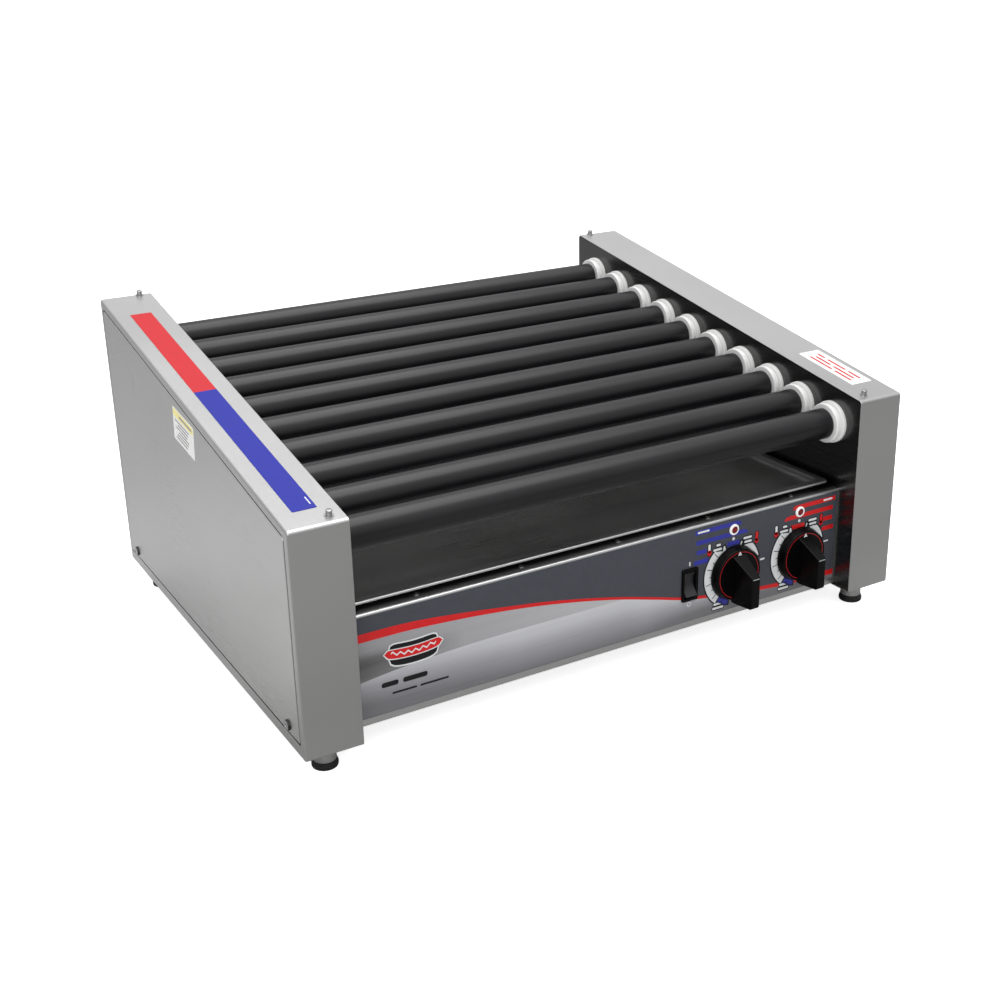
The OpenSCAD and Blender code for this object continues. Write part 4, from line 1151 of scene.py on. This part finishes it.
def screws():
    """Screws in the deck's front flange and in the back panel."""
    deck, back = high("front_panel").z, high("back_panel").y
    in_deck = [(DECK_SCREW_FIRST + DECK_SCREW_GAP * i, PRINT_Y + DECK_SCREW_IN, deck)
               for i in range(DECK_SCREWS)]
    in_back = [(side * (INNER_X - FROM_WALL), back, z) for side in (-1, 1) for z in BACK_SCREW_ZS]
    # The deck screws take steel darkened as painted shade
    piece("deck_screws", joined(*[cross_screw(at, (0, 0, 1)) for at in in_deck]), "painted_shade_dot_steel", "screw_steel")
    piece("cross_screws", joined(*[cross_screw(at, (0, 1, 0)) for at in in_back]), "screw", "screw_steel",
          ["screws"])


# ---- Labels ----

LABEL_T = 0.22
LABEL_INK = 0.03
ZONE_XS = (-287, -267)
ZONE_YS = (-207, 4.5, 181.5)
NOTICE = ((269, -201), (293.5, -127.5))
NOTICE_ROWS = {275.2: ((-193, -171), (-167, -137)), 280.8: ((-191, -163), (-159, -139)),
               286.6: ((-193, -177), (-173, -149), (-145, -135))}
PLATE_AT = Vector((-4.5, FOOT_H + 201.6))
PLATE_TURN = Matrix.Rotation(math.radians(7), 2)


def on_top(u, v, w):
    """A point on the sloped top: u is x, v is y, w is the height off the sheet."""
    return Vector((u, v, top_z(v))) + OFF_SLOPE * w


def on_cover(u, v, w):
    """A point on the left cover, from the middle of the crooked data plate."""
    p = PLATE_AT + PLATE_TURN @ Vector((u, v))
    return Vector((-(COVER_X + w), p.x, p.y))


def patch(place, lo, hi, radius, start, stop):
    """A thin rounded rectangle from one height to another."""
    return prism(eased(box_outline(lo, hi), radius), place, start, stop)


def label(name, shapes, look, replaces=()):
    piece(name, joined(*shapes), look, "label_print", replaces)


def top_labels():
    """Zone strip on the left top and notice on the right one, each with plain bars for its words."""
    for name, (lo, hi), look in (("zone_label_blue", zip(ZONE_XS, ZONE_YS[:2]), "label_blue"),
                                 ("zone_label_red", zip(ZONE_XS, ZONE_YS[1:]), "label_red"),
                                 ("notice_label", NOTICE, "label_white")):
        label(name, [patch(on_top, lo, hi, 0.8, 0.01, LABEL_T)], look)
    ink_top = LABEL_T + LABEL_INK
    mark = patch(on_top, (-270.3, -201), (-269.4, -190), 0.35, LABEL_T, ink_top)
    label("zone_label_mark", [mark], "label_white")
    lines = [patch(on_top, (u - 1.2, v0), (u + 1.2, v1), 0.9, LABEL_T, ink_top)
             for u, spans in NOTICE_ROWS.items() for v0, v1 in spans]
    label("notice_lines", lines, "label_red", ["labels"])


def data_plate():
    """A plate with a coloured band and plain bars, slightly crooked."""
    def bar(lo, hi, w, radius=0.8):
        return patch(on_cover, lo, hi, radius, w, w + 0.05)

    label("data_plate", [patch(on_cover, (-26.5, -15), (26.5, 15), 1, -0.4, 0.15)], "label_white")
    label("data_plate_band", [bar((-25.5, 7.2), (25.5, 14), 0.15)], "label_yellow")
    rows = [bar((-14 + (i % 3) * 2, 3.6 - 3.1 * i), (22 - (i * 7) % 11, 5.0 - 3.1 * i), 0.15, 0.5)
            for i in range(6)]
    label("data_plate_lines", [*rows, bar((-22.5, 9.4), (10, 11.6), 0.2)], "label_grey")


# ---- Studio ----

CAMERA_AT = Vector((-616.8, -1091.5, 585.5))
AZIMUTH, ELEVATION, ROLL = -29.737, 20.016, -1.425
FOCAL = 49.37
SHIFT = (0.00067, -0.0328)


def camera():
    data = bpy.data.cameras.new("camera")
    data.lens = FOCAL
    data.sensor_width = 36
    data.shift_x, data.shift_y = SHIFT
    data.clip_start, data.clip_end = 0.05, 50
    obj = placed("camera", data)
    a, e, r = (math.radians(angle) for angle in (AZIMUTH, ELEVATION, ROLL))
    back = Vector((math.sin(a) * math.cos(e), -math.cos(a) * math.cos(e), math.sin(e)))
    right = (-back).cross(Vector((0, 0, 1))).normalized()
    up = right.cross(-back)
    turned_right = math.cos(r) * right + math.sin(r) * up
    turned_up = -math.sin(r) * right + math.cos(r) * up
    pose = Matrix((turned_right, turned_up, back)).transposed().to_4x4()
    pose.translation = CAMERA_AT * MM
    obj.matrix_world = pose
    bpy.context.scene.camera = obj


def area_light(name, at, target, size, power):
    data = bpy.data.lights.new(name, "AREA")
    data.shape = "RECTANGLE"
    data.size, data.size_y = size
    data.energy = power
    obj = placed(name, data)
    obj.location = at
    obj.rotation_mode = "QUATERNION"
    obj.rotation_quaternion = (Vector(target) - Vector(at)).to_track_quat("-Z", "Y")


FLOOR_GLOW = 0.75
BACKDROP = 1.1


def floor():
    """Pale paper, a little self-lit to the eye so that it stays white, and darker in reflections."""
    size = 14
    mesh = bpy.data.meshes.new("floor")
    corners = [(*p, 0) for p in box_outline((-size, -size), (size, size))]
    mesh.from_pydata(corners, [], [[0, 1, 2, 3]])
    obj = placed("floor", mesh)
    look = Look("floor_paper", Roughness=0.9, Specular_IOR_Level=0.1, Emission_Color=(1, 1, 1, 1))
    rays = look.add("ShaderNodeLightPath")
    split = look.add("ShaderNodeSeparateXYZ", {"Vector": look.coordinates})
    depth = look.between(split.outputs["Y"], 0, 1, -2.2, 1.2)
    mirrored = look.ramp(depth, (0.0, 0.10), (0.44, (0.33, 0.33, 0.325)), (0.54, (0.23, 0.23, 0.228)),
                         (0.63, (0.50, 0.50, 0.495)), (0.70, 0.52), (0.82, 0.38))
    paper = look.ramp(look.noise(3), (0.0, 0.86), (1.0, 0.9))
    look.to_shader("Base Color", look.mixed(paper, mirrored, rays.outputs["Is Glossy Ray"]))
    glow = look.add("ShaderNodeMath", {0: rays.outputs["Is Camera Ray"]}, {1: FLOOR_GLOW},
                    operation="MULTIPLY")
    look.to_shader("Emission Strength", glow.outputs[0])
    mesh.materials.append(look.material)


def world():
    """A white backdrop to look at, and a softer light from it: bright overhead, dim at the horizon."""
    shell = bpy.data.worlds.new("studio")
    bpy.context.scene.world = shell
    shell.use_nodes = True
    nodes = Nodes(shell.node_tree)
    seen = nodes.tree.nodes["Background"]
    seen.inputs["Color"].default_value = (1, 1, 1, 1)
    seen.inputs["Strength"].default_value = BACKDROP
    out = nodes.add("ShaderNodeTexCoord").outputs["Generated"]
    height = nodes.add("ShaderNodeSeparateXYZ", {"Vector": out}).outputs["Z"]
    sky = nodes.ramp(height, (0.0, 0.42), (0.75, (0.95, 0.95, 0.96)))
    cast = nodes.add("ShaderNodeBackground", {"Color": sky}, {"Strength": 1.0})
    to_eye = nodes.add("ShaderNodeLightPath").outputs["Is Camera Ray"]
    mixed = nodes.add("ShaderNodeMixShader", {0: to_eye, 1: cast.outputs[0], 2: seen.outputs[0]})
    nodes.tree.links.new(mixed.outputs[0], nodes.tree.nodes["World Output"].inputs["Surface"])


def studio():
    world()
    floor()
    area_light("key", (-1.3, -2.0, 2.0), (0, 0, 0.1), (3.8, 3.8), 40)
    area_light("top", (0.4, 0.05, 2.6), (0, 0, 0.1), (2.6, 1.9), 46)
    bpy.context.scene.view_settings.view_transform = "Standard"


dress_nodes()
for side in (-1, 1):
    end_housing(side)
    side_cover(side)
seals()
drip_tray()
eased_copy("front_panel", "panel", "stainless", 0)
eased_copy("back_panel", "tray", "stainless", 0.2)
eased_copy("cable_gland", "black", "black_plastic", 0.4)
overlay_background()
dial(KNOB_AXES["front"], "blue", "front")
dial(KNOB_AXES["rear"], "red", "rear")
rocker_marks()
zone_marks()
pictogram()
for name, axis in KNOB_AXES.items():
    knob(name, axis)
rocker_bezel()
rocker_paddle()
pilot_lamps()
feet()
studs()
screws()
cover_screws()
top_labels()
data_plate()
studio()
camera()
